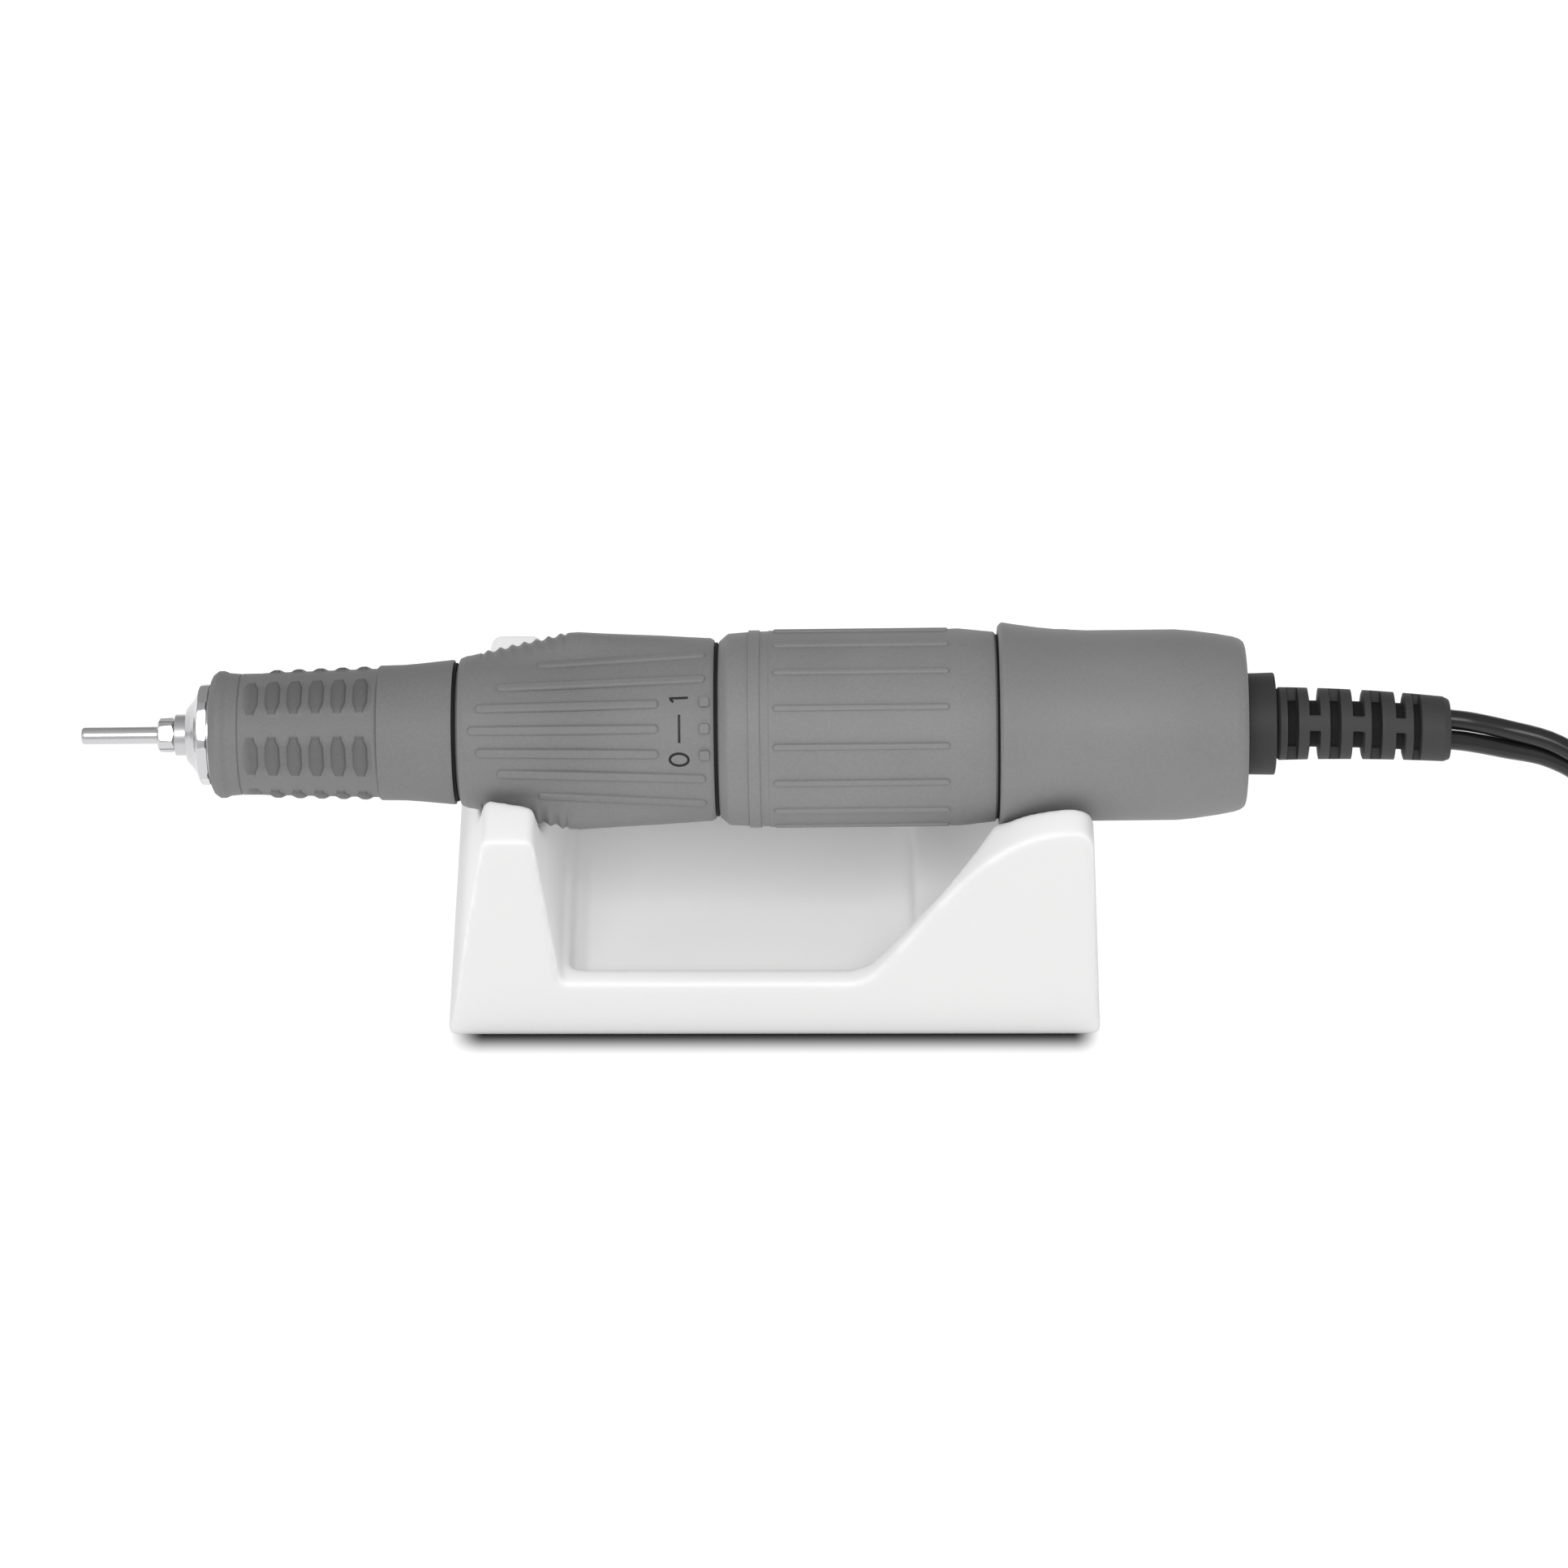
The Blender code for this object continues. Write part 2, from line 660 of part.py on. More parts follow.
def spindle_bearings():
    """The two spindle bearings and the tube that keeps them apart."""
    bore = SPINDLE_R + FIT
    bearing("front_bearing", FRONT_BEARING_S, bore, RACE_R)
    bearing("rear_bearing", REAR_BEARING_S, bore, RACE_R)
    start = FRONT_BEARING_S + BEARING_W + GAP
    wall = (RACE_R - bore) * RACE_share
    tube("bearing_spacer", start, BEARING_SPAN - 2 * GAP, RACE_R - wall, RACE_R, "anodised_aluminium")


# Case and grip shells
SECTOR_POINTS = 12


def sector(name, start, length, bore, radius, low, high, slot=None, points=SECTOR_POINTS):
    """Part of a tube between two angles."""
    angles = [low + (high - low) * i / points for i in range(points + 1)]
    outline = [(radius * math.cos(a), radius * math.sin(a)) for a in angles]
    outline += [(bore * math.cos(a), bore * math.sin(a)) for a in reversed(angles)]
    piece = to_mesh(extruded(name, [outline], length, slot))
    return move_mesh(piece, Matrix.Translation((0, 0, start + length / 2)))


def inner_case():
    """Steel tube that holds the bearings, with the drum that the release ring turns on."""
    front = SLEEVE_S + GAP
    drum = RING_S - SEAM + GAP
    outer = [(front, CASE_R), (drum, CASE_R), (drum, CASE_DRUM_R), (CAVITY_S, CASE_DRUM_R)]
    inner = [(front, CASE_BORE), (CAVITY_S, CASE_BORE)]
    case = turned("inner_case", outer, inner, "anodised_aluminium", OUTER_SIDES)
    reach = CAM_PIN_R + FIT
    margin = reach / CASE_BORE
    slot = sector(
        "cam_window",
        CAM_PIN_S - reach,
        2 * reach,
        CASE_BORE - OVER,
        CASE_DRUM_R + OVER,
        -margin,
        RING_TURN + margin,
    )
    return boolean(case, slot)


RIDGES = 5
RIDGE_ROWS = 6
RIDGE_FIRST_share = 0.235
RIDGE_PITCH_share = 0.0905
RIDGE_FOOT_share = 0.028
RIDGE_H = 0.00045
ROW_ANGLE = math.radians(24)
ROW_FLAT = math.radians(15)
ROW_EASE = math.radians(8)
SLEEVE_WALL_GAP = CASE_R + GAP
SLEEVE_FRONT_shares = (
    (0.0, 0.77), (0.012, 0.82), (0.025, 0.855), (0.042, 0.875), (0.058, 0.875), (0.075, 0.853),
)
SLEEVE_LAND_shares = ((0.09, 0.838), (0.2, 0.84))
SLEEVE_REAR_shares = (
    (0.666, 0.888), (0.68, 0.93), (0.79, 0.938), (0.86, 0.957), (0.93, 0.98), (0.985, 1.0), (1.0, 0.985),
)


def front_sleeve():
    """Finger grip: ridges in six rows with smooth lands between them."""
    shares = list(SLEEVE_FRONT_shares + SLEEVE_LAND_shares)
    lands = (SLEEVE_LAND_shares[-1], SLEEVE_REAR_shares[0])
    for i in range(RIDGES):
        peak = RIDGE_FIRST_share + i * RIDGE_PITCH_share
        for step in (-RIDGE_FOOT_share, 0, RIDGE_FOOT_share):
            shares.append((peak + step, span(lands, peak + step)))
    shares += SLEEVE_REAR_shares
    outer = [(SLEEVE_S + SLEEVE_L * a, SLEEVE_R * b) for a, b in shares]
    inner = [(SLEEVE_S, SLEEVE_WALL_GAP), (SLEEVE_S + SLEEVE_L, SLEEVE_WALL_GAP)]
    sleeve = to_mesh(turned("front_sleeve", outer, inner, "grip_plastic", OUTER_SIDES))
    move_mesh(sleeve, Matrix.Rotation(ROW_ANGLE, 4, "Z"))
    for vert in sleeve.data.vertices:
        radius = math.hypot(vert.co.x, vert.co.y)
        share = (vert.co.z - SLEEVE_S) / SLEEVE_L
        nearest = round((share - RIDGE_FIRST_share) / RIDGE_PITCH_share)
        peak = RIDGE_FIRST_share + nearest * RIDGE_PITCH_share
        on_top = abs(share - peak) < RIDGE_FOOT_share / 2
        if radius < SLEEVE_WALL_GAP + GAP or not 0 <= nearest < RIDGES or not on_top:
            continue
        row = TURN / RIDGE_ROWS
        off = abs((math.atan2(vert.co.y, vert.co.x) - ROW_ANGLE + row / 2) % row - row / 2)
        lift = RIDGE_H * (1 - ease((off - ROW_FLAT) / ROW_EASE))
        vert.co.x *= (radius + lift) / radius
        vert.co.y *= (radius + lift) / radius
    return sleeve


RING_SIDES = 28
RING_BASE_shares = ((0.0, 0.775), (0.012, 0.81), (0.035, 0.835), (0.065, 0.848))
RING_REAR_shares = (
    (0.48, 0.9), (0.56, 0.915), (0.67, 0.936), (0.785, 0.958), (0.9, 0.98), (0.985, 0.997), (1.0, 0.98),
)
WING_shares = (
    (0.0, 0.0), (0.06, 0.0), (0.435, 1.0), (0.47, 1.0), (0.558, 0.82), (0.67, 0.62), (0.785, 0.42),
    (0.9, 0.19), (1.0, 0.0),
)
WING_HALF = math.radians(13)
WING_EASE = math.radians(22)
TEETH = 8
TOOTH_FIRST_share = 0.071
TOOTH_PITCH_share = 0.0469
TOOTH_H = 0.0003
RIB_W = 0.0011
RIB_H = 0.0003
RIB_DEPTH = 0.0008
RIB_STEP = math.radians(16.5)
RIB_shares = ((0, 0.05, 0.79), (1, 0.08, 0.79), (2, 0.16, 0.97), (3.27, 0.315, 0.97))


def ring_base(share):
    """Share of the ring's rear radius that its round body has at a share of its length."""
    return span(RING_BASE_shares + RING_REAR_shares, share)


def wing_lift(share, angle):
    """How far the wings and their teeth stand off the round body."""
    off = abs(angle % (TURN / 2) - TURN / 4)
    window = 1 - ease((off - WING_HALF) / WING_EASE)
    count = (share - TOOTH_FIRST_share) / TOOTH_PITCH_share
    tooth = TOOTH_H * math.cos(TURN * count) if -1 / 2 < count < TEETH - 1 / 2 else 0
    return window * (WING_H * span(WING_shares, share) + tooth)


def joined(name, pieces, slot=None):
    """One object from several that don't meet."""
    work = bmesh.new()
    for piece in pieces:
        work.from_mesh(piece.data)
        bpy.data.objects.remove(piece)
    mesh = bpy.data.meshes.new(name)
    work.to_mesh(mesh)
    work.free()
    return add(name, mesh, slot)


def strip(start, end, front, back, width, height, depth, turn):
    """A low rib laid along a slope: stations of its ends and the radii it stands on there."""
    slope = math.atan2(back - front, end - start)
    rib = block("strip", (height + depth, width, end - start), ((height - depth) / 2, 0, 0))
    place = Vector(((front + back) / 2, 0, (start + end) / 2))
    lean = Matrix.Translation(place) @ Matrix.Rotation(slope, 4, "Y")
    return move_mesh(rib, Matrix.Rotation(turn, 4, "Z") @ lean)


def ring_ribs(ring):
    """Long low ribs on both faces of the ring, each laid along its slope."""
    ribs = []
    for side in (0, TURN / 2):
        for step, low, high in RIB_shares:
            for sign in (1, -1) if step else (1,):
                ends = (RING_S + RING_L * low, RING_S + RING_L * high)
                radii = (RING_R * ring_base(low), RING_R * ring_base(high))
                ribs.append(strip(*ends, *radii, RIB_W, RIB_H, RIB_DEPTH, side + sign * step * RIB_STEP))
    boolean(ring, joined("ring_ribs", ribs), "UNION")


def release_ring():
    """Ring that opens the chuck: a cone with two serrated wings and long ribs."""
    shares = list(RING_BASE_shares)
    for i in range(2 * TEETH):
        place = TOOTH_FIRST_share + i * TOOTH_PITCH_share / 2
        shares.append((place, span(RING_BASE_shares + RING_REAR_shares, place)))
    shares += RING_REAR_shares
    outer = [(RING_S + RING_L * a, RING_R * b) for a, b in shares]
    inner = [(RING_S, RING_BORE), (RING_S + RING_L, RING_BORE)]
    ring = to_mesh(turned("release_ring", outer, inner, "ring_plastic", RING_SIDES))
    for vert in ring.data.vertices:
        radius = math.hypot(vert.co.x, vert.co.y)
        if radius < RING_BORE + GAP:
            continue
        share = (vert.co.z - RING_S) / RING_L
        lift = wing_lift(share, math.atan2(vert.co.y, vert.co.x))
        vert.co.x *= (radius + lift) / radius
        vert.co.y *= (radius + lift) / radius
    ring_ribs(ring)
    hole = radial_rod("cam_pin_hole", CAM_PIN_S, CASE_DRUM_R, CAM_PIN_END + GAP, CAM_PIN_R + FIT, 0)
    return boolean(ring, hole)


CAM_PIN_END = RING_BORE + CAM_PIN_R
CAM_POINTS = 9


def cam_parts():
    """Slider inside the drum with its slanted slot, and the pin that the ring moves in it."""
    slider = to_mesh(tube("cam_slider", CAM_S, CAM_L, CAM_BORE, CAM_R, "turned_steel", OUTER_SIDES))
    reach = CAM_PIN_R + FIT
    middle = (CAM_BORE + CAM_R) / 2
    path = []
    for i in range(CAM_POINTS):
        t = i / (CAM_POINTS - 1)
        angle = t * RING_TURN
        path.append((middle * math.cos(angle), middle * math.sin(angle), CAM_PIN_S + COLLET_TRAVEL * t))
    margin = reach / middle
    first = (middle * math.cos(-margin), middle * math.sin(-margin), path[0][2])
    last_angle = RING_TURN + margin
    last = (middle * math.cos(last_angle), middle * math.sin(last_angle), path[-1][2])
    track = to_mesh(curve_tube("cam_track", [first, *path, last], reach + FIT / 2, None, 2, AXIS))
    boolean(slider, track)
    start = CAM_BORE + FIT / 2
    radial_rod("cam_pin", CAM_PIN_S, start, CAM_PIN_END, CAM_PIN_R, 0, "turned_steel")


# Coupling between spindle and motor
def drive_parts():
    """Fork on the spindle's tail and the dog on the motor shaft that turns it."""
    fork = rod("drive_fork", FORK_S, PRONG_S + PRONG_L - FORK_S, FORK_R, "turned_steel")
    bore_end = SPINDLE_END + GAP
    boolean(fork, rod("fork_bore", FORK_S - OVER, bore_end - FORK_S + OVER, SPINDLE_R + FIT))
    slot_end = PRONG_S + PRONG_L + OVER
    size = (2 * (FORK_R + OVER), TONGUE_W + 2 * FIT, slot_end - PRONG_S)
    boolean(fork, block("fork_slot", size, (0, 0, (PRONG_S + slot_end) / 2)))
    dog = rod("motor_dog", DOG_S, DOG_L, DOG_R, "turned_steel")
    start, end = PRONG_S + GAP, DOG_S + OVER / 2
    boolean(dog, block("dog_tongue", (TONGUE_H, TONGUE_W, end - start), (0, 0, (start + end) / 2)), "UNION")
    boolean(dog, rod("dog_bore", SHAFT_S - GAP, DOG_L, SHAFT_R + FIT))


# Motor
SHAFT_SPARE = 0.0016
SHAFT_END = MOTOR_BEARING_2_S + BEARING_W + SHAFT_SPARE
WINDING_ROUND = 0.0009
RISER_L = 0.0008
RISER_R = 0.0043
SEGMENT_SLOT = 0.0003
SEGMENT_DEPTH = 0.0005
PLATE_HOLE_R = 0.0011
PLATE_HOLE_PLACE = 0.0092
PLATE_HOLES = 4


def slots(target, name, count, width, low, high, start, length):
    """Cut narrow slots from one radius to another, evenly round the axis."""
    cuts = []
    for i in range(count):
        size = (high - low, width, length)
        centre = ((low + high) / 2, 0, start + length / 2)
        cuts.append(block(name, size, centre, None, i * TURN / count))
    return boolean(target, joined(name, cuts))


def rotor_parts():
    """Shaft, slotted core, its two winding heads and the commutator."""
    rod("rotor_shaft", SHAFT_S, SHAFT_END - SHAFT_S, SHAFT_R, "polished_steel")
    bore = SHAFT_R + FIT
    core = tube("armature_core", CORE_S, CORE_L, bore, CORE_R, "turned_steel", OUTER_SIDES)
    low = CORE_R - CORE_SLOT_DEPTH
    slots(core, "core_slots", CORE_SLOTS, CORE_SLOT_W, low, CORE_R + OVER, CORE_S - OVER, CORE_L + 2 * OVER)
    start, end = YOKE_S + WINDING_INSET, CORE_S - GAP
    outer = [(start, WINDING_R - WINDING_ROUND), (start + WINDING_ROUND, WINDING_R), (end, WINDING_R)]
    turned("front_winding", outer, [(start, bore + FIT), (end, bore + FIT)], "copper")
    start, end = CORE_S + CORE_L + GAP, COMMUTATOR_S - GAP
    outer = [(start, WINDING_R), (end - WINDING_ROUND, WINDING_R), (end, WINDING_R - WINDING_ROUND)]
    turned("rear_winding", outer, [(start, bore + FIT), (end, bore + FIT)], "copper")
    riser = COMMUTATOR_S + RISER_L
    end = COMMUTATOR_S + COMMUTATOR_L
    outer = [(COMMUTATOR_S, RISER_R), (riser, RISER_R), (riser, COMMUTATOR_R), (end, COMMUTATOR_R)]
    switch = turned("commutator", outer, [(COMMUTATOR_S, bore), (end, bore)], "copper", 2 * CORE_SLOTS)
    low, high = COMMUTATOR_R - SEGMENT_DEPTH, COMMUTATOR_R + OVER / 2
    slots(switch, "segment_slots", CORE_SLOTS, SEGMENT_SLOT, low, high, riser + OVER / 2, COMMUTATOR_L)


def stator_parts():
    """End plate, yoke and magnets round the rotor, with the two motor bearings."""
    inner = MOTOR_BEARING_R + FIT
    slot = "anodised_aluminium"
    plate = tube("motor_end_plate", END_PLATE_S, END_PLATE_L, inner, YOKE_R, slot, OUTER_SIDES)
    holes = []
    for i in range(PLATE_HOLES):
        start, length = END_PLATE_S - OVER, END_PLATE_L + 2 * OVER
        hole = to_mesh(rod("plate_hole", start, length, PLATE_HOLE_R, None, SMALL_SIDES // 2))
        turn = Matrix.Rotation((i + 1 / 2) * TURN / PLATE_HOLES, 4, "Z")
        holes.append(move_mesh(hole, turn @ Matrix.Translation((PLATE_HOLE_PLACE, 0, 0))))
    boolean(plate, joined("plate_holes", holes))
    tube("field_yoke", YOKE_S, YOKE_L, YOKE_R - YOKE_WALL, YOKE_R, "turned_steel", OUTER_SIDES)
    start, length = YOKE_S + MAGNET_INSET, YOKE_L - 2 * MAGNET_INSET
    for name, middle in (("magnet_upper", TURN / 4), ("magnet_lower", -TURN / 4)):
        low, high = middle - MAGNET_ARC / 2, middle + MAGNET_ARC / 2
        sector(name, start, length, MAGNET_R - MAGNET_WALL, MAGNET_R, low, high, "magnet_ferrite")
    front = END_PLATE_S + (END_PLATE_L - BEARING_W) / 2
    bearing("motor_front_bearing", front, SHAFT_R + FIT, MOTOR_BEARING_R)
    bearing("motor_rear_bearing", MOTOR_BEARING_2_S, SHAFT_R + FIT, MOTOR_BEARING_R)


BOX_START_R = RISER_R + WALK
BRUSH_SPRING_R = 0.0014


def brush_parts():
    """Moulded holder with its two boxes, and the brushes, springs and caps in them."""
    disc_r = REAR_CAVITY_R - GAP
    bore = MOTOR_BEARING_R + FIT
    holder = rod("brush_holder", HOLDER_DISC_S, HOLDER_DISC_L, disc_r, "moulded_nylon", OUTER_SIDES)
    boxes, windows = [], []
    for side, turn in (("left", TURN / 4), ("right", -TURN / 4)):
        length = HOLDER_DISC_S + OVER - HOLDER_S
        reach = BRUSH_BOX_END - BOX_START_R
        middle = (BRUSH_BOX_END + BOX_START_R) / 2
        size = (reach, BRUSH_BOX_W, length)
        boxes.append(block("brush_box", size, (middle, 0, HOLDER_S + length / 2), None, turn))
        size = (reach + 2 * OVER, BRUSH_T + 2 * FIT, BRUSH_W + 2 * FIT)
        windows.append(block("brush_window", size, (middle, 0, BRUSH_S), None, turn))
        start = COMMUTATOR_R + GAP
        size = (BRUSH_L, BRUSH_T, BRUSH_W)
        block(f"brush_{side}", size, (start + BRUSH_L / 2, 0, BRUSH_S), "carbon", turn)
        start += BRUSH_L + GAP
        name = f"brush_spring_{side}"
        radial_rod(name, BRUSH_S, start, BRUSH_BOX_END, BRUSH_SPRING_R, turn, "turned_steel")
        start = BRUSH_BOX_END + GAP
        radial_rod(f"brush_cap_{side}", BRUSH_S, start, start + BRUSH_CAP_T, BRUSH_CAP_R, turn, "brass")
    boolean(holder, joined("brush_boxes", boxes), "UNION")
    boolean(holder, joined("brush_windows", windows))
    boolean(holder, rod("bearing_pocket", HOLDER_DISC_S, HOLDER_DISC_L + OVER, bore))


# Outer shells behind the ring
HOUSING_shares = (
    (0.0, 0.885), (0.01, 0.94), (0.035, 0.976), (0.106, 0.988), (0.109, 1.009), (0.152, 1.009), (0.17, 1.0),
    (0.827, 1.0), (0.856, 1.008), (0.875, 1.0), (0.997, 0.9635), (1.0, 0.955),
)
REAR_CAP_shares = (
    (0.0, 0.955), (0.015, 1.0), (0.065, 0.98), (0.165, 0.946), (0.23, 0.93), (0.36, 0.914), (0.72, 0.914),
    (0.79, 0.9), (0.89, 0.868), (0.955, 0.84), (0.98, 0.82), (1.0, 0.785),
)
BEADS = 16
BEAD_shares = (0.2, 0.827)
BEAD_W = 0.0008
BEAD_H = 0.0004
BEAD_DEPTH = 0.0006
CAVITY_END_share = 0.75
CAVITY_END_R = 0.0107


def motor_housing():
    """Middle shell with its lengthwise grip beads; a web at its front holds the inner case."""
    outer = [(HOUSING_S + HOUSING_L * a, HOUSING_R * b) for a, b in HOUSING_shares]
    bore = CASE_DRUM_R + GAP
    inner = [(HOUSING_S, bore), (CAVITY_S, bore), (CAVITY_S, CAVITY_R), (HOUSING_S + HOUSING_L, CAVITY_R)]
    housing = turned("motor_housing", outer, inner, "housing_plastic", 2 * BEADS)
    ends = [HOUSING_S + HOUSING_L * share for share in BEAD_shares]
    beads = []
    for i in range(BEADS):
        turn = (i + 1 / 2) * TURN / BEADS
        beads.append(strip(*ends, HOUSING_R, HOUSING_R, BEAD_W, BEAD_H, BEAD_DEPTH, turn))
    return boolean(housing, joined("housing_beads", beads), "UNION")


def rear_cap():
    """Flared shell that closes the motor and carries the cord."""
    outer = [(REAR_CAP_S + REAR_CAP_L * a, FLARE_R * b) for a, b in REAR_CAP_shares]
    hole = COLLAR_NECK_R + GAP
    inner = [
        (REAR_CAP_S, REAR_CAVITY_R),
        (REAR_CAP_S + REAR_CAP_L * CAVITY_END_share, REAR_CAVITY_R),
        (REAR_INNER_S, CAVITY_END_R),
        (REAR_INNER_S, hole),
        (REAR_CAP_S + REAR_CAP_L, hole),
    ]
    return turned("rear_cap", outer, inner, "rear_plastic", OUTER_SIDES)


COLLAR_ROUND_shares = ((0.0, 0.93), (0.15, 1.0), (0.8, 1.0), (1.0, 0.93))
WIRE_START_R = 0.0075
WIRE_END_R = 0.0012
WIRE_POINTS = 9


def cord_entry():
    """Grommet in the rear wall, the cord's inner end with its crimp, and the two leads to the brushes."""
    bore = CORD_TAIL_R + FIT
    inside = REAR_INNER_S - GAP
    outer = [
        (inside - COLLAR_FLANGE_L, COLLAR_FLANGE_R),
        (inside, COLLAR_FLANGE_R),
        (inside, COLLAR_NECK_R),
        (COLLAR_S, COLLAR_NECK_R),
    ]
    outer += [(COLLAR_S + COLLAR_L * a, COLLAR_R * b) for a, b in COLLAR_ROUND_shares]
    inner = [(inside - COLLAR_FLANGE_L, bore), (COLLAR_S + COLLAR_L, bore)]
    turned("cord_collar", outer, inner, "grip_plastic")
    tail = BOOT_S - GAP - CORD_TAIL_L
    rod("cord_tail", tail, CORD_TAIL_L, CORD_TAIL_R, "cord_vinyl")
    crimp = inside - COLLAR_FLANGE_L - GAP - CRIMP_L
    tube("crimp_ring", crimp, CRIMP_L, bore, bore + CRIMP_WALL, "brass")
    start = HOLDER_DISC_S + HOLDER_DISC_L + GAP
    for name, side, slot in (("lead_wire_red", 1, "wire_red"), ("lead_wire_black", -1, "cord_vinyl")):
        route = []
        for i in range(WIRE_POINTS):
            t = i / (WIRE_POINTS - 1)
            out = WIRE_START_R + (WIRE_END_R - WIRE_START_R) * ease(t)
            route.append((0, side * out, start + (tail - GAP - start) * t))
        curve_tube(name, route, WIRE_R, slot, 1, AXIS)


BOOT_shares = ((0.0, 0.93), (0.025, 1.0), (0.5, 0.95), (0.97, 0.89), (1.0, 0.83))
BOOT_CORE_R = 0.003
WINDOW_POINTS = 5
WINDOW_shares = (
    (0.059, 0.115), (0.185, 0.24), (0.3025, 0.359), (0.4336, 0.492), (0.542, 0.597), (0.6826, 0.729),
    (0.785, 0.823),
)
SIDE_BRIDGE = math.radians(9)
FACE_BRIDGE = math.radians(14)


def drooped(vert):
    """Lower a point of the boot by its share of the boot's bend."""
    share = (vert.z - BOOT_S) / BOOT_L
    down = AXIS.matrix_world.to_3x3().inverted() @ Vector((0, 0, -1))
    return vert + down * BOOT_DROOP * max(share, 0) ** 2


def strain_relief_boot():
    """Rubber boot moulded on the cord, with windows that take turns on its sides and faces."""
    outer = [(BOOT_S + BOOT_L * a, BOOT_R * b) for a, b in BOOT_shares]
    boot = turned("strain_relief_boot", outer, None, "boot_rubber", SMALL_SIDES)
    cuts = []
    for i, (low, high) in enumerate(WINDOW_shares):
        bridge = FACE_BRIDGE if i % 2 else SIDE_BRIDGE
        for half in (0, 1):
            middle = half * TURN / 2 + (i % 2) * TURN / 4
            reach = TURN / 4 - bridge
            start, length = BOOT_S + BOOT_L * low, BOOT_L * (high - low)
            low_a, high_a = middle - reach, middle + reach
            cuts.append(
                sector(
                    "window", start, length, BOOT_CORE_R, BOOT_R + OVER, low_a, high_a, None, WINDOW_POINTS
                )
            )
    boolean(boot, joined("boot_windows", cuts))
    boot = to_mesh(boot)
    for vert in boot.data.vertices:
        vert.co = drooped(vert.co)
    return boot


# Cradle
def prism(name, outline, slot=None, draft=0.0, half=CRADLE_HALF):
    """An upright outline given a depth either side, less deep higher up."""
    count = len(outline)
    verts = [(x, side * (half - draft * z), z) for side in (-1, 1) for x, z in outline]
    faces = [tuple(range(count)), tuple(reversed(range(count, 2 * count)))]
    faces += [(i, i + count, (i + 1) % count + count, (i + 1) % count) for i in range(count)]
    mesh = bpy.data.meshes.new(name)
    mesh.from_pydata(verts, [], faces)
    work = bmesh.new()
    work.from_mesh(mesh)
    bmesh.ops.recalc_face_normals(work, faces=work.faces)
    work.to_mesh(mesh)
    work.free()
    return add(name, mesh, slot, None)


HORN_ROUND = 0.0009
END_ROUND = 0.003
HOLLOW_LEFT_shares = ((0.031, 0), (0.148, 0), (0.135, 0.58), (0.072, 0.58))
HOLLOW_RIGHT_shares = ((0.743, 0), (0.969, 0), (0.954, 0.549), (0.776, 0.549), (0.743, 0.449))
TRAY_HALF = 0.018
TRAY_SLOPE = 0.0019
CORNER_POINTS = 5


def rounded(before, corner, after, radius):
    """Points that round one corner of an outline."""
    before, corner, after = Vector(before), Vector(corner), Vector(after)
    into, out = (before - corner).normalized(), (after - corner).normalized()
    half = into.angle(out) / 2
    start, end = corner + into * radius / math.tan(half), corner + out * radius / math.tan(half)
    centre = corner + (into + out).normalized() * radius / math.sin(half)
    arm = start - centre
    swing = -arm.angle_signed(end - centre)
    made = []
    for i in range(CORNER_POINTS):
        place = arm.copy()
        place.rotate(Matrix.Rotation(swing * i / (CORNER_POINTS - 1), 2))
        made.append(tuple(centre + place))
    return made


def horn_places():
    """The horn's outer and inner top corners and its inner foot on the rim, seen from the side."""
    outer = (CRADLE_FRONT_X + HORN_H * HORN_LEAN, HORN_H)
    inner = (outer[0] + HORN_W, HORN_H)
    return outer, inner, (inner[0] + (HORN_H - RIM_H) * HORN_FACE, RIM_H)


def hill_foot_x():
    """Where the hill leaves the rim."""
    return CRADLE_FRONT_X + CRADLE_L * HILL_START_share


def cradle_outline():
    """The cradle from the side, counter-clockwise: foot, end, hill, rim, horn."""
    right = CRADLE_FRONT_X + CRADLE_L
    top_right = (right - HILL_H * REAR_LEAN, HILL_H)
    hill_foot = (hill_foot_x(), RIM_H)
    horn_left, horn_right, rim = horn_places()
    end = rounded((right, 0.0), top_right, hill_foot[:1] + (HILL_H,), END_ROUND)
    outline = [(CRADLE_FRONT_X, 0.0), (right, 0.0), *end]
    hill_top = (end[-1][0] - HILL_CREST, HILL_H)
    across = hill_top[0] - hill_foot[0]
    handles = (hill_foot[0] + across * HILL_FOOT_HANDLE_share, hill_top[0] - across * HILL_TOP_HANDLE_share)
    for i in range(HILL_POINTS, -1, -1):
        t = i / HILL_POINTS
        parts = ((1 - t) ** 3, 3 * t * (1 - t) ** 2, 3 * t**2 * (1 - t), t**3)
        xs = (hill_foot[0], *handles, hill_top[0])
        zs = (RIM_H, RIM_H, HILL_H, HILL_H)
        outline.append((sum(a * b for a, b in zip(parts, xs)), sum(a * b for a, b in zip(parts, zs))))
    outline.append(rim)
    outline += rounded(rim, horn_right, horn_left, HORN_ROUND)
    outline += rounded(horn_right, horn_left, (CRADLE_FRONT_X, 0.0), HORN_ROUND)
    return outline


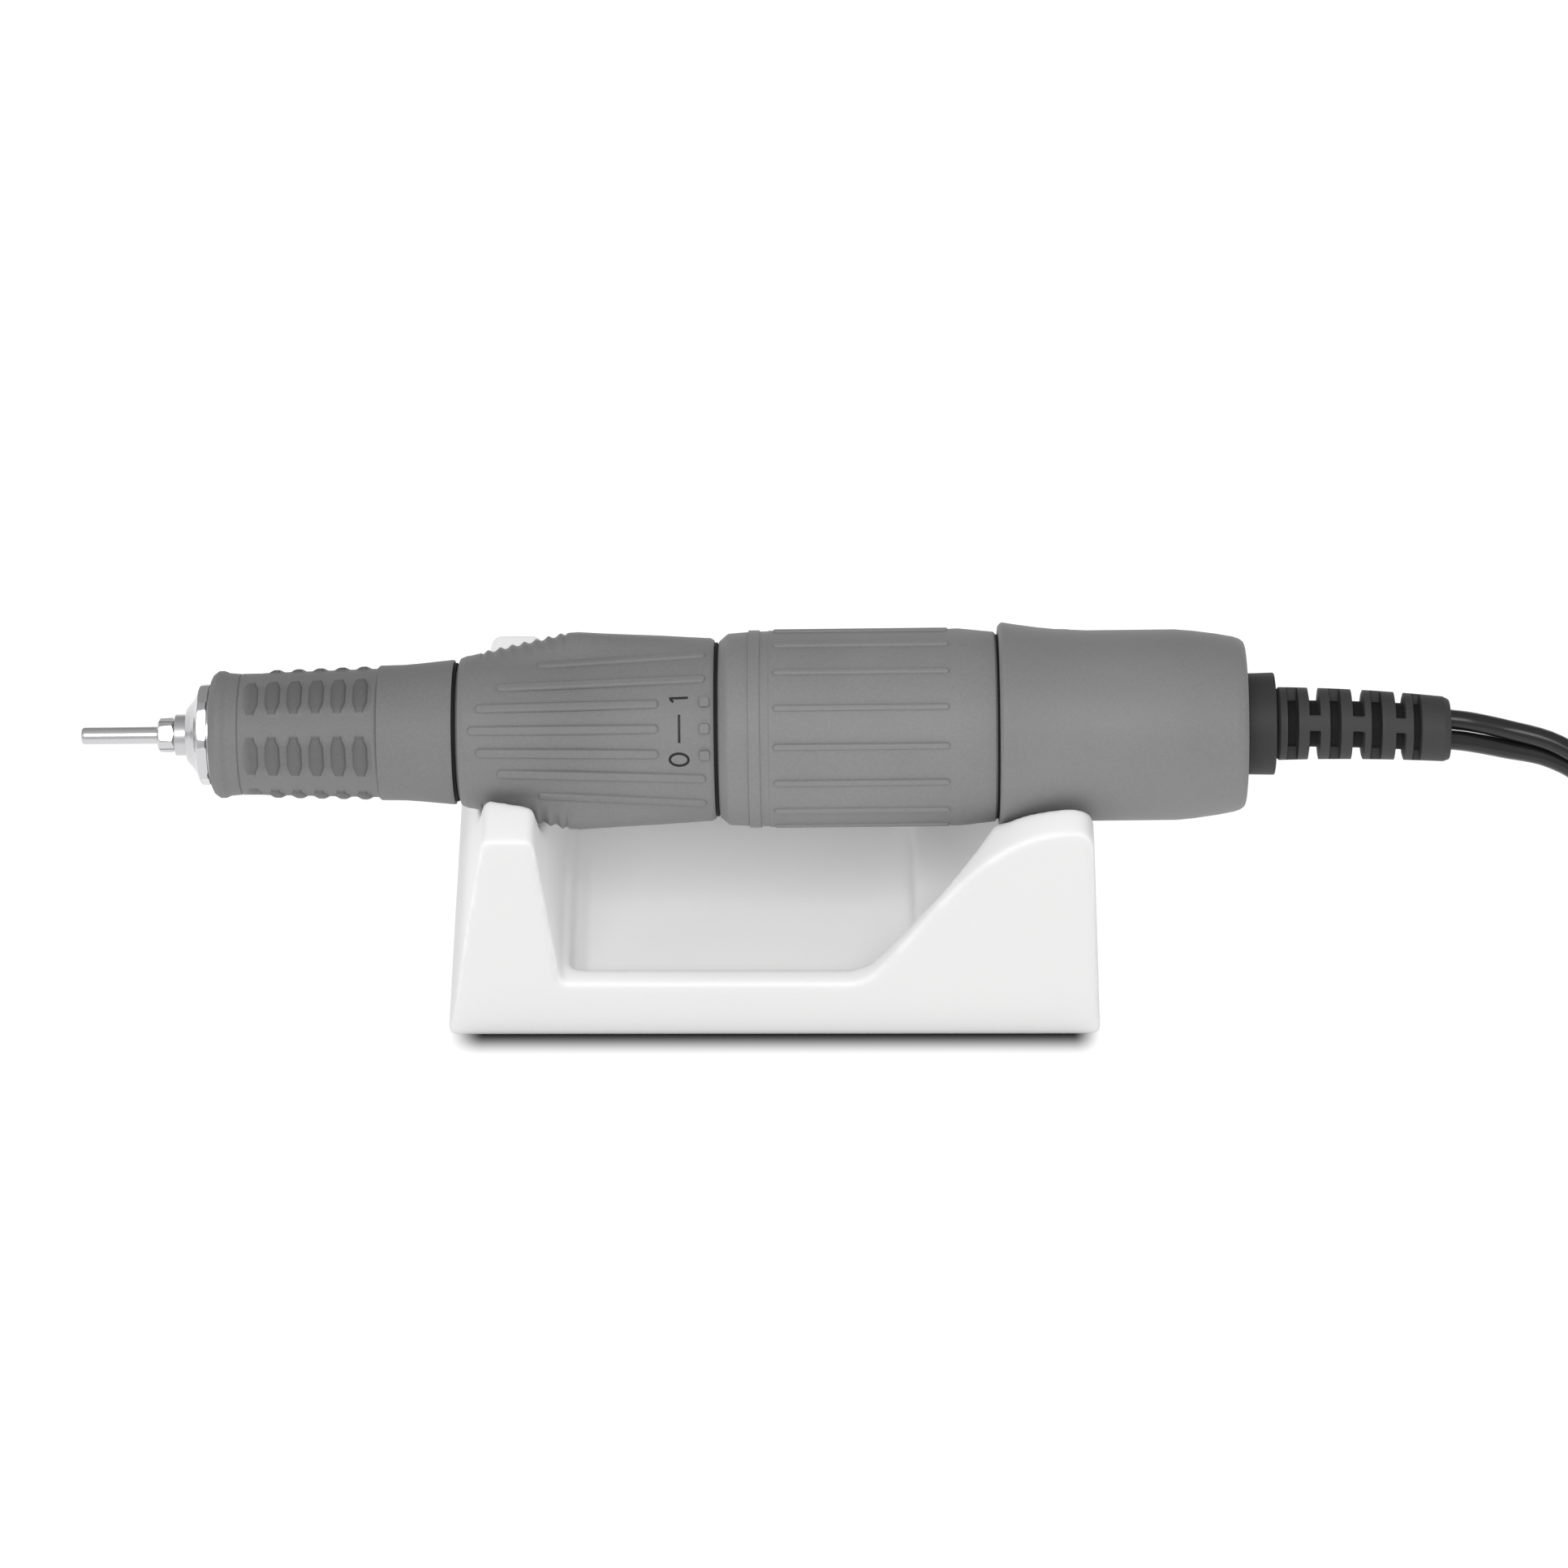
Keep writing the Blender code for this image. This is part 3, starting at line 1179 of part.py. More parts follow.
def tray_cutter():
    """Pocket between horn and hill: square next to the horn, round next to the hill."""
    left, right = horn_places()[2][0] + TRAY_LEDGE, hill_foot_x() + TRAY_REACH
    corners = [(left, -TRAY_HALF), (right, -TRAY_HALF), (right, TRAY_HALF), (left, TRAY_HALF)]
    outline = []
    for i, radius in enumerate((TRAY_NOTCH, TRAY_CORNER, TRAY_CORNER, TRAY_NOTCH)):
        outline += rounded(corners[i - 1], corners[i], corners[(i + 1) % 4], radius)
    depth = HILL_H - TRAY_FLOOR
    cutter = to_mesh(extruded("tray_pocket", [outline], depth, None, None))
    move_mesh(cutter, Matrix.Translation((0, 0, TRAY_FLOOR + depth / 2)))
    work = bmesh.new()
    work.from_mesh(cutter.data)
    everything = [*work.verts, *work.edges, *work.faces]
    bmesh.ops.bisect_plane(work, geom=everything, plane_co=(0, 0, RIM_H + GAP), plane_no=(0, 0, 1))
    for vert in work.verts:
        if vert.co.z < RIM_H and vert.co.x < left + TRAY_NOTCH:
            vert.co.x += TRAY_SLOPE
    work.to_mesh(cutter.data)
    work.free()
    return cutter


SADDLE_shares = (-0.2, 0.06, 0.435, 0.6)


def ring_reach(share):
    """Largest radius of the ring, wings and teeth included, at a share of its length."""
    return RING_R * ring_base(max(share, 0)) + WING_H * span(WING_shares, max(share, 0)) + TOOTH_H


def cradle():
    """Moulded cradle: a horn under the ring, a tray, and a hill under the housing."""
    body = prism("cradle", cradle_outline(), "cradle_plastic", CRADLE_DRAFT)
    work = bmesh.new()
    work.from_mesh(body.data)
    weights = work.edges.layers.float.new("bevel_weight_edge")
    for edge in work.edges:
        a, b = (vert.co for vert in edge.verts)
        edge[weights] = float(a.y * b.y > 0 and max(a.z, b.z) > MERGE)
    work.to_mesh(body.data)
    work.free()
    edges = body.modifiers.new("edges", "BEVEL")
    edges.width = CRADLE_EDGE
    edges.segments = 2
    edges.limit_method = "WEIGHT"
    body.modifiers.new("surface", "WEIGHTED_NORMAL")
    boolean(body, tray_cutter())
    saddle = [(RING_S + RING_L * share, ring_reach(share)) for share in SADDLE_shares]
    step_s = REAR_CAP_S - GAP
    beads_r = HOUSING_R + BEAD_H
    rest = [(HOUSING_S, beads_r), (step_s, beads_r), (step_s, FLARE_R), (BOOT_S + BOOT_L, FLARE_R)]
    for name, table in (("saddle", saddle), ("rest", rest)):
        outer = [(station, radius + SEAT_CLEAR) for station, radius in table]
        boolean(body, turned(name, outer, None, None, 2 * OUTER_SIDES))
    half = CRADLE_HALF - CRADLE_WALL - CRADLE_DRAFT * HILL_H
    for name, shares in (("left_hollow", HOLLOW_LEFT_shares), ("right_hollow", HOLLOW_RIGHT_shares)):
        outline = [(CRADLE_FRONT_X + CRADLE_L * x, HILL_H * z if z else -OVER) for x, z in shares]
        boolean(body, prism(name, outline, half=half))
    return body


# Cord, hank, tie and plug on the table behind the cradle's end
LAYER = 2 * CORD_R + CORD_SPACE
LANE = LAYER / WAIST_share
HANK_FLOOR = TIE_T + 2 * GAP + CORD_R
HANK_PLACES = ((1, 0), (0, 0), (0, 1), (1, 1), (1, 2), (0, 2), (0, 3))
HANK_MOVES = ((0.75, 1.0), (0.62, 0.75), (0.5, 0.62), (0.27, 0.48), (0.125, 0.24), (0.0, 0.12))
PLUG_LANE = 0.5
PLUG_LAYER = (HANK_PLACES[-2][1] * LAYER + CORD_R + GAP + PLUG_R) / LAYER
PLUG_MOVE = (0.27, 0.5)
HANK_START_X = HANK_FOLD_X - 2 * CORD_R
HANK_START_Y = -HANK_FOLD_R - LANE
HANK_RUN_POINTS = 6
HANK_FOLD_POINTS = 7
LEAD_ROUTE = (
    (0.1005, -0.0001, 0.036),
    (0.1072, -0.0009, 0.0344),
    (0.1124, -0.003, 0.0313),
    (0.1162, -0.0084, 0.0244),
    (0.1204, -0.0156, 0.0153),
    (0.1264, -0.0215, 0.0074),
)
LEAD_STEPS = 2


def hank_place(turn, share):
    """Lane and layer of the cord at a share of one turn: first run, far fold, second run, near fold."""
    a, b = HANK_PLACES[turn], HANK_PLACES[turn + 1]
    low, high = HANK_MOVES[turn]
    t = ease((share - low) / (high - low))
    lane, layer = a[0] + (b[0] - a[0]) * t, a[1] + (b[1] - a[1]) * t
    if turn == len(HANK_MOVES) - 1:
        low, high = PLUG_MOVE
        t = ease((share - low) / (high - low))
        lane, layer = lane + PLUG_LANE * t, layer + (PLUG_LAYER - layer) * t
    return lane, layer


def waist(t):
    """How far a run is drawn in at a share of its length."""
    return 1 - (1 - WAIST_share) * math.sin(math.pi * t) ** 2


def hank_point(turn, share):
    """A point on the hank's middle line."""
    lane, layer = hank_place(turn, share)
    radius = HANK_FOLD_R + lane * LANE
    height = HANK_FLOOR + layer * LAYER
    quarter, t = divmod(share * 4, 1)
    if quarter == 0:
        return Vector((HANK_FOLD_X + HANK_RUN * t, -radius * waist(t), height))
    if quarter == 2:
        return Vector((HANK_FOLD_X + HANK_RUN * (1 - t), radius * waist(t), height))
    side = 1 if quarter == 1 else -1
    middle = HANK_FOLD_X + (HANK_RUN if side > 0 else 0)
    across = side * radius * math.sin(math.pi * t)
    return Vector((middle + across, -side * radius * math.cos(math.pi * t), height))


def hank_route():
    """Middle line of the hank from the floor to the plug, which lies past the tie."""
    stops = []
    for quarter in range(4):
        count = HANK_FOLD_POINTS if quarter % 2 else HANK_RUN_POINTS
        stops += [(quarter + i / count) / 4 for i in range(count)]
    points = [Vector((HANK_START_X + GAP / 2, HANK_START_Y, HANK_FLOOR))]
    last = len(HANK_MOVES) - 1
    for turn in range(len(HANK_MOVES)):
        points += [hank_point(turn, share) for share in stops if turn < last or share < (2 + 1 / 2) / 4]
    points.append(hank_point(last, (2 + 1 / 2) / 4))
    points.append(points[-1] - Vector((TIE_W / 2 + 2 * CORD_R, 0, 0)))
    return points


def least_gap(points):
    """Smallest space between turns that lie next to each other."""
    reach = HANK_FOLD_R
    marks, total = [], 0.0
    for a, b in zip(points, points[1:]):
        count = max(round((b - a).length / (CORD_R / 2)), 1)
        marks += [(total + (b - a).length * i / count, a.lerp(b, i / count)) for i in range(count)]
        total += (b - a).length
    marks.append((total, points[-1]))
    near = min((p - q).length for i, (s, p) in enumerate(marks) for t, q in marks[i:] if t - s > reach)
    return total, near - 2 * CORD_R


def lead_route():
    """Middle line of the cord from the boot to the hank."""
    start = AXIS.matrix_world @ drooped(Vector((0, 0, END_S)))
    before = AXIS.matrix_world @ drooped(Vector((0, 0, END_S - CORD_R)))
    along = (start - before).normalized()
    floor = Vector((HANK_START_X - GAP / 2, HANK_START_Y, HANK_FLOOR))
    flat = floor - Vector((2 * CORD_R, 0, 0))
    first = start + along * GAP
    places = [first, first + along * CORD_R, *(Vector(p) for p in LEAD_ROUTE), flat, floor]
    route = smooth_route(places[1:-1], LEAD_STEPS)
    return [first, *route, floor]


def cord_parts():
    """The free cord and its stored hank."""
    lead = lead_route()
    curve_tube("cord_lead", lead, CORD_R, "cord_vinyl", 2)
    route = hank_route()
    curve_tube("cord_hank", route, CORD_R, "cord_vinyl", 1)
    free = sum((b - a).length for a, b in zip(lead, lead[1:]))
    total, gap = least_gap(route)
    print(f"free cord {free:.4f} m, hank {total:.4f} m, least gap in the hank {gap * 1000:.2f} mm")
    print(f"least gap between lead and hank {lead_gap(lead, route) * 1000:.2f} mm")
    return route[-1]


def lead_gap(lead, route):
    """Smallest space between the free cord and the hank, leaving out where they follow each other."""
    def marks(points):
        return [a.lerp(b, i / 8) for a, b in zip(points, points[1:]) for i in range(8)]
    far = marks(route[HANK_RUN_POINTS:])
    return min((p - q).length for p in marks(lead) for q in far) - 2 * CORD_R


def cord_tie():
    """Strap round both runs of the hank at its waist."""
    space = CORD_R + 2 * GAP
    side = (HANK_FOLD_R + LANE) * WAIST_share + space
    bottom = HANK_FLOOR - CORD_R - GAP
    shoulder = HANK_FLOOR + HANK_PLACES[-2][1] * LAYER + space
    near = HANK_FOLD_R * WAIST_share + space
    far = (HANK_FOLD_R + PLUG_LANE * LANE) * WAIST_share + space
    outlines = []
    for grow in (TIE_T, 0):
        corners = [
            (-side - grow, bottom - grow),
            (side + grow, bottom - grow),
            (side + grow, shoulder + grow),
            (far + grow, HANK_FLOOR + PLUG_LAYER * LAYER + space + grow),
            (-near - grow, HANK_FLOOR + HANK_PLACES[-1][1] * LAYER + space + grow),
            (-side - grow, shoulder + grow),
        ]
        outline = []
        for i, corner in enumerate(corners):
            outline += rounded(corners[i - 1], corner, corners[(i + 1) % len(corners)], TIE_T + grow)
        outlines.append(outline)
    strap = to_mesh(extruded("cord_tie", outlines, TIE_W, "tie_fabric", None))
    stand = Matrix.Rotation(TURN / 4, 4, "Z") @ Matrix.Rotation(TURN / 4, 4, "X")
    move_mesh(strap, Matrix.Translation((HANK_FOLD_X + HANK_RUN / 2, 0, 0)) @ stand)
    return strap


PLUG_RINGS = 3
PLUG_RING_DEPTH = 0.0005
PLUG_SHELL_R = 0.0056
PLUG_SHELL_WALL = 0.0008
PLUG_PINS = 5
PLUG_PIN_R = 0.0006
PLUG_PIN_PLACE = 0.0028
PLUG_INSERT_L = 0.003


def plug_parts(end):
    """Plug lying on the hank: rubber boot, grip body, metal shell and an insert with pins."""
    axis = bpy.data.objects.new("plug_axis", None)
    axis.empty_display_size = PLUG_BODY_L
    PARTS.objects.link(axis)
    axis.matrix_world = Matrix.Translation(end) @ Matrix.Rotation(-TURN / 4, 4, "Y")
    start = GAP
    end_s = start + PLUG_BOOT_L
    outer = [(start, CORD_R + GAP), (end_s - PLUG_BOOT_L * 0.1, PLUG_R * 0.8), (end_s, PLUG_R * 0.76)]
    turned("plug_boot", outer, None, "boot_rubber", SMALL_SIDES, axis)
    start += PLUG_BOOT_L + GAP
    end_s = start + PLUG_BODY_L
    outer = [(start, PLUG_R - PLUG_RING_DEPTH), (start + PLUG_RING_DEPTH, PLUG_R)]
    for i in range(PLUG_RINGS):
        low = start + PLUG_BODY_L * (i + 1) / (PLUG_RINGS + 4)
        high = low + PLUG_BODY_L / (PLUG_RINGS + 4) / 2
        bed = PLUG_R - PLUG_RING_DEPTH
        outer += [(low, PLUG_R), (low, bed), (high, bed), (high, PLUG_R)]
    outer.append((end_s, PLUG_R))
    turned("plug_body", outer, None, "plug_plastic", SMALL_SIDES, axis)
    start = end_s + GAP
    bore = PLUG_SHELL_R - PLUG_SHELL_WALL
    tube("plug_shell", start, PLUG_SHELL_L, bore, PLUG_SHELL_R, "polished_steel", SMALL_SIDES, axis)
    insert = rod("plug_insert", start, PLUG_INSERT_L, bore - GAP, "moulded_nylon", SMALL_SIDES, axis)
    pins = []
    for i in range(PLUG_PINS):
        length, pin_s = PLUG_SHELL_L - PLUG_INSERT_L, start + PLUG_INSERT_L - OVER
        pin = to_mesh(rod("plug_pin", pin_s, length, PLUG_PIN_R, None, SMALL_SIDES // 2, axis))
        turn = Matrix.Rotation(i * TURN / (PLUG_PINS + 1), 4, "Z")
        pins.append(move_mesh(pin, turn @ Matrix.Translation((PLUG_PIN_PLACE, 0, 0))))
    cutter = joined("plug_pins", pins)
    cutter.parent = axis
    boolean(insert, cutter, "UNION")


mandrel_blank()
collet()
draw_bar()
spindle()
chuck_parts()
nose_cap()
spindle_bearings()
inner_case()
front_sleeve()
release_ring()
cam_parts()
drive_parts()
rotor_parts()
stator_parts()
brush_parts()
motor_housing()
rear_cap()
cord_entry()
strain_relief_boot()
cradle()
plug_parts(cord_parts())
cord_tie()
print("pieces", sum(obj.type != "EMPTY" for obj in PARTS.objects))
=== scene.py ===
# %% [markdown]
# # A laboratory handpiece on its cradle
# The solids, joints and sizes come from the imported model, which this script loads as a fixed frame.
# Everything here is the skin of it: smooth mouldings, machined steel, rubber and the cord, each laid on the solid
# that it stands for. Lengths are written in millimetres and multiplied by MM, because the frame is in metres.

# %% Load the frame
import math

import bmesh
import bpy
import numpy as np
from mathutils import Matrix, Vector


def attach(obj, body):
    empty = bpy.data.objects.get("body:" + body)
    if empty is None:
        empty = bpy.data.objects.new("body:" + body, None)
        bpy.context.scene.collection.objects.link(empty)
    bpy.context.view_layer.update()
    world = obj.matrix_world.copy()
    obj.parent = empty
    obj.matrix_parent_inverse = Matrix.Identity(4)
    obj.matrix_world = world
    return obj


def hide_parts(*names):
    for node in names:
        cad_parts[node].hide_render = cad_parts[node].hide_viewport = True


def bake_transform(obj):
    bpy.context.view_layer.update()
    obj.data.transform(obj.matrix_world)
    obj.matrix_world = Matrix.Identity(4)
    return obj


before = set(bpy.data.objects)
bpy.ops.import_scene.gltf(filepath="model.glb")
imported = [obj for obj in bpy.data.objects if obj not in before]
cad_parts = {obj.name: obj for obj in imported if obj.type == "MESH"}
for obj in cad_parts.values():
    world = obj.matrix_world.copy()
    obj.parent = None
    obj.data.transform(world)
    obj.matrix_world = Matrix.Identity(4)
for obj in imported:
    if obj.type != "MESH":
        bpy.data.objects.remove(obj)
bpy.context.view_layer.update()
MM = 0.001
TURN = math.tau

# %% [markdown]
# ## The handpiece's own axis
# All turned pieces share one line, from the tip of the rod to the boot. It is easiest to build them standing on
# that line, with Z as the distance from the tip, and to lay them down with one matrix. X of the matrix is the
# side with the markings, which is turned up to the camera.

# %% Axis of the turned pieces
TIP = Vector((-92.722, 0, 36.786)) * MM
PITCH, FACE_LIFT = math.radians(0.75), math.radians(46)
along = Vector((math.cos(PITCH), 0, math.sin(PITCH)))
face = Vector((0, -math.cos(FACE_LIFT), math.sin(FACE_LIFT)))
face = (face - face.dot(along) * along).normalized()
AXIS = Matrix.Translation(TIP) @ Matrix((face, along.cross(face), along)).transposed().to_4x4()
print("tail of the axis, mm", [round(v / MM, 2) for v in AXIS @ Vector((0, 0, 185.46 * MM))])

# %% [markdown]
# ## Camera
# The photograph looks down at 46 degrees through a long lens, so the cradle shows its front and its tray at once.
# The place comes from the size of the rear end against the front end, the turn from the level foot of the cradle.

# %% Camera
def linked(name, data):
    """A new object with that data, in the scene."""
    made = bpy.data.objects.new(name, data)
    bpy.context.scene.collection.objects.link(made)
    return made


VIEW_TURN, VIEW_LIFT, VIEW_ROLL = math.radians(0.28), math.radians(46), math.radians(-0.27)
VIEW_AWAY, SENSOR_WIDTH, FOCAL_LENGTH = 0.7777, 36, 130.4
target, level = Vector((2.59, 0, 27.24)) * MM, math.cos(VIEW_LIFT)
back = Vector((math.sin(VIEW_TURN) * level, -math.cos(VIEW_TURN) * level, math.sin(VIEW_LIFT)))
camera = linked("camera", bpy.data.cameras.new("camera"))
camera.data.sensor_width, camera.data.lens = SENSOR_WIDTH, FOCAL_LENGTH
camera.data.clip_start, camera.data.clip_end = 0.05, 20
camera.location = target + back * VIEW_AWAY
camera.rotation_mode = "QUATERNION"
camera.rotation_quaternion = Matrix.Rotation(VIEW_ROLL, 4, back).to_quaternion() @ (-back).to_track_quat("-Z", "Y")
bpy.context.scene.camera = camera
print("camera at", [round(v, 3) for v in camera.location])

# %% [markdown]
# ## Expressions for node maths
# A material's pattern is a sum or product of masks. Written as node after node it can't be read, so a socket is
# wrapped in a small class, and Python's own signs add the Math nodes. It serves shaders and Geometry Nodes alike.

# %% A number in a node tree
class Number:
    """A socket that carries one number; + - * / and the named methods add Math nodes behind it."""

    def __init__(self, nodes, socket):
        self.nodes, self.socket = nodes, socket

    def maths(self, operation, *others, first=None):
        values = [self if first is None else first, *others]
        made = self.nodes.add("ShaderNodeMath", {"operation": operation}, dict(enumerate(values)))
        return Number(self.nodes, made.outputs[0])

    def __rsub__(self, other):
        return self.maths("SUBTRACT", self, first=other)

    def __rtruediv__(self, other):
        return self.maths("DIVIDE", self, first=other)

    def smooth(self, low, high):
        """0 below low, 1 above high, with an eased way between."""
        kind = {"interpolation_type": "SMOOTHSTEP"}
        made = self.nodes.add("ShaderNodeMapRange", kind, {"Value": self, "From Min": low, "From Max": high})
        return Number(self.nodes, made.outputs["Result"])


def operator(operation):
    """A method of Number that adds one Math node."""
    return lambda number, *others: number.maths(operation, *others)


OPERATORS = {
    "__add__": "ADD", "__radd__": "ADD", "__sub__": "SUBTRACT", "__mul__": "MULTIPLY", "__rmul__": "MULTIPLY",
    "__truediv__": "DIVIDE", "abs": "ABSOLUTE", "cos": "COSINE", "sin": "SINE", "power": "POWER",
}
for name, operation in OPERATORS.items():
    setattr(Number, name, operator(operation))


# %% One way to add a node
class Nodes:
    """A node tree that is filled by type, settings and what goes into the sockets."""

    def __init__(self, tree):
        self.tree = tree

    def add(self, kind, settings=None, sockets=None):
        made = self.tree.nodes.new(kind)
        for name, value in (settings or {}).items():
            setattr(made, name, value)
        for key, value in (sockets or {}).items():
            self.plug(value, made.inputs[key])
        return made

    def plug(self, value, socket):
        if isinstance(value, Number):
            value = value.socket
        if isinstance(value, bpy.types.NodeSocket):
            self.tree.links.new(value, socket)
        else:
            socket.default_value = value

    def number(self, node, output=0):
        return Number(self, node.outputs[output])


# %% [markdown]
# ## Finishes
# Every finish starts from the place on the object, read as Object coordinates, since all pieces keep their origin
# at zero. A moulded plastic is never one grey: it has a fine spark-eroded grain, slow clouds where the mould was
# cooler, and rub marks. One function makes that family, and another makes the steels.

# %% Start of a finish
def new_finish(name):
    """A material with an empty Principled shader, and its Nodes."""
    made = bpy.data.materials.new(name)
    made.use_nodes = True
    nodes = Nodes(made.node_tree)
    return made, nodes, made.node_tree.nodes["Principled BSDF"]


def here(nodes):
    """The place on the piece, in Object coordinates."""
    return nodes.add("ShaderNodeTexCoord").outputs["Object"]


def mapped(nodes, place, **sockets):
    """A place after a Mapping node with these sockets."""
    return nodes.add("ShaderNodeMapping", None, {"Vector": place, **sockets}).outputs["Vector"]


def xyz(nodes, vector):
    """The three numbers of a vector."""
    split = nodes.add("ShaderNodeSeparateXYZ", None, {0: vector})
    return [nodes.number(split, axis) for axis in "XYZ"]


def noise(nodes, place, scale, detail=2.0, rough=0.5):
    """Noise from 0 to 1 at so many grains per metre."""
    sockets = {"Vector": place, "Scale": scale, "Detail": detail, "Roughness": rough}
    return nodes.number(nodes.add("ShaderNodeTexNoise", None, sockets), "Fac")


def tint(nodes, factor, dark, light):
    """A colour between two, given as three numbers or as a socket, mixed as colours."""
    dark, light = ((*c, 1) if isinstance(c, tuple) else c for c in (dark, light))
    sockets = {0: factor, 6: dark, 7: light}
    mix = nodes.add("ShaderNodeMix", {"data_type": "RGBA", "clamp_factor": True}, sockets)
    return mix.outputs[2]


def surface(nodes, shader, colour, rough, height, depth):
    """Colour, roughness and a bump of that depth in metres, plugged into the shader."""
    sockets = {"Height": height, "Distance": depth, "Strength": 1.0}
    normal = nodes.add("ShaderNodeBump", None, sockets).outputs["Normal"]
    for label, value in (("Base Color", colour), ("Roughness", rough), ("Normal", normal)):
        nodes.plug(value, shader.inputs[label])


def on_axis(nodes):
    """Station along the handpiece in millimetres, and angle round it."""
    back = AXIS.inverted()
    x, y, z = xyz(nodes, mapped(nodes, here(nodes), Location=back.translation, Rotation=back.to_euler()))
    return z / MM, y.maths("ARCTAN2", x)


# %% Moulded plastics and rubber
DARKEST = 0.25


def moulded(name, grey, rough, grain=2400, depth=0.02, cloud=0.10, warm=0.0, coat=0.0, darker=None):
    """A moulded finish: its grey, grains per metre, their depth in millimetres; darker(nodes) darkens places."""
    made, nodes, shader = new_finish(name)
    place = mapped(nodes, here(nodes))
    fine = noise(nodes, place, grain, 3.0, 0.6)
    slow = noise(nodes, place, 45, 2.0)
    rubbed = noise(nodes, mapped(nodes, place, Scale=(0.35, 1, 1)), 260, 4.0, 0.7).smooth(0.55, 0.8)
    shade = fine * 0.5 + slow * 0.5
    dark = (grey * (1 - cloud),) * 3
    light = tuple(grey * (1 + cloud) * f for f in (1 + warm, 1, 1 - warm))
    colour = tint(nodes, (shade - 0.5) * 2.2 + 0.5, dark, light)
    if darker:
        colour = tint(nodes, darker(nodes), colour, tuple(c * DARKEST for c in dark))
    roughness = (fine - 0.5) * 0.18 + rough - rubbed * 0.05
    surface(nodes, shader, colour, roughness, fine + rubbed * 0.15, depth * MM)
    shader.inputs["Coat Weight"].default_value = coat
    shader.inputs["Specular IOR Level"].default_value = 0.35
    return made


RING = moulded("ring_moulding", 0.192, 0.55, 2600, 0.03, 0.14)
SHELL = moulded("housing_moulding", 0.212, 0.55, 2600, 0.03, 0.13)
TAIL = moulded("rear_moulding", 0.205, 0.52, 2600, 0.03, 0.11)
COLLAR = moulded("collar_moulding", 0.031, 0.60)
RUBBER = moulded("boot_moulding", 0.038, 0.62, 1800, 0.03, 0.14)
VINYL = moulded("cord_sheath", 0.010, 0.22, 900, 0.0008, 0.15, coat=0.2)


# Painted shade: the cradle's outer side and end faces get a darker colour that stands for shade on them; their rounded
# edges keep the light colour.
OUTSIDE_PAINTED_SHADE, SIDE_DRAFT = 0.31, 0.054


def outside(nodes):
    """The cradle's outer faces, toned down only so that this light gives the photograph's greys on them. The object
    itself looks like one white moulding."""
    x, y, z = (axis / MM for axis in xyz(nodes, here(nodes)))
    side = (y.abs() + z * SIDE_DRAFT).smooth(21.3, 21.95)
    end = (x - 1.15).abs().smooth(41.0, 44.0)
    return side.maths("MAXIMUM", end) * OUTSIDE_PAINTED_SHADE


CRADLE = moulded("cradle_moulding", 0.95, 0.42, 1500, 0.008, 0.012, 0.003, darker=outside)
NYLON = moulded("moulded_nylon_cream", 0.45, 0.45, 1300, 0.01, 0.05, 0.05)
PLUG = moulded("plug_moulding", 0.022, 0.45, 1500, 0.015, 0.2)
# Near-black rubber whose colour stands for painted shade in the seams and in the boot's windows.
BLACK_SHADE = moulded("black_rubber_painted_shade", 0.006, 0.8, 1200, 0.01, 0.2)
FERRITE = moulded("pressed_ferrite", 0.030, 0.7, 3200, 0.02, 0.3)
CARBON = moulded("pressed_carbon", 0.018, 0.6, 3600, 0.02, 0.3)
PAINT = moulded("pad_printed_black", 0.008, 0.5, 5000, 0.004, 0.3)
RED = moulded("wire_sheath_red", 0.30, 0.40, 1500, 0.006, 0.1)


# %% Turned and polished metals
def machined(name, colour, rough, lines=3200, depth=0.0006, across=0.16):
    """Metal off a lathe: tool lines round the axis, with a slow change of roughness."""
    made, nodes, shader = new_finish(name)
    read = here(nodes)
    level = mapped(nodes, read, Rotation=(0, PITCH, 0))
    tool = noise(nodes, mapped(nodes, level, Scale=(1, 0.01, 0.01)), lines, 2.0)
    slow = noise(nodes, read, 240, 3.0)
    dark = tuple(c * (1 - across / 2) for c in colour)
    colours = tint(nodes, tool * 0.6 + slow * 0.4, dark, colour)
    surface(nodes, shader, colours, tool * 0.12 + slow * 0.10 + rough - 0.08, tool, depth * MM)
    shader.inputs["Metallic"].default_value = 1.0
    return made


STEEL = machined("polished_steel_bright", (0.60, 0.60, 0.61), 0.22)
TURNED = machined("turned_steel_satin", (0.58, 0.58, 0.59), 0.30, depth=0.0012)
ALLOY = machined("anodised_alloy", (0.50, 0.51, 0.53), 0.36, depth=0.0012)
BRASS = machined("drawn_brass", (0.72, 0.52, 0.24), 0.28, depth=0.0012)
COPPER = machined("enamelled_copper", (0.62, 0.28, 0.14), 0.34, 2600, 0.02, 0.5)


# %% [markdown]
# ## Floor and light
# The photograph has a white ground with hardly a shadow on it, but for one dark line under the front foot of the
# cradle. A pale floor that gives most of its own light does the same, so the object casts next to nothing on it, and
# the dark line is part of the floor's colour. The sky is a white tent, brighter in front and above than behind. One
# wide soft box hangs over the front and a weak one on the left.

# %% Floor
SHADOW_STRIP_X, SHADOW_STRIP_Y = (-44.8, -38.8, 42.3, 47), (-27, -21.6, 0, 12)
FLOOR_REACH, FLOOR_DROP, FLOOR_GLOW = 3, 0.05 * MM, 0.85


def between(number, rise, full, fall, gone):
    """A mask that rises, stays at 1 and falls, at four places in millimetres."""
    return number.smooth(rise * MM, full * MM) * (1 - number.smooth(fall * MM, gone * MM))


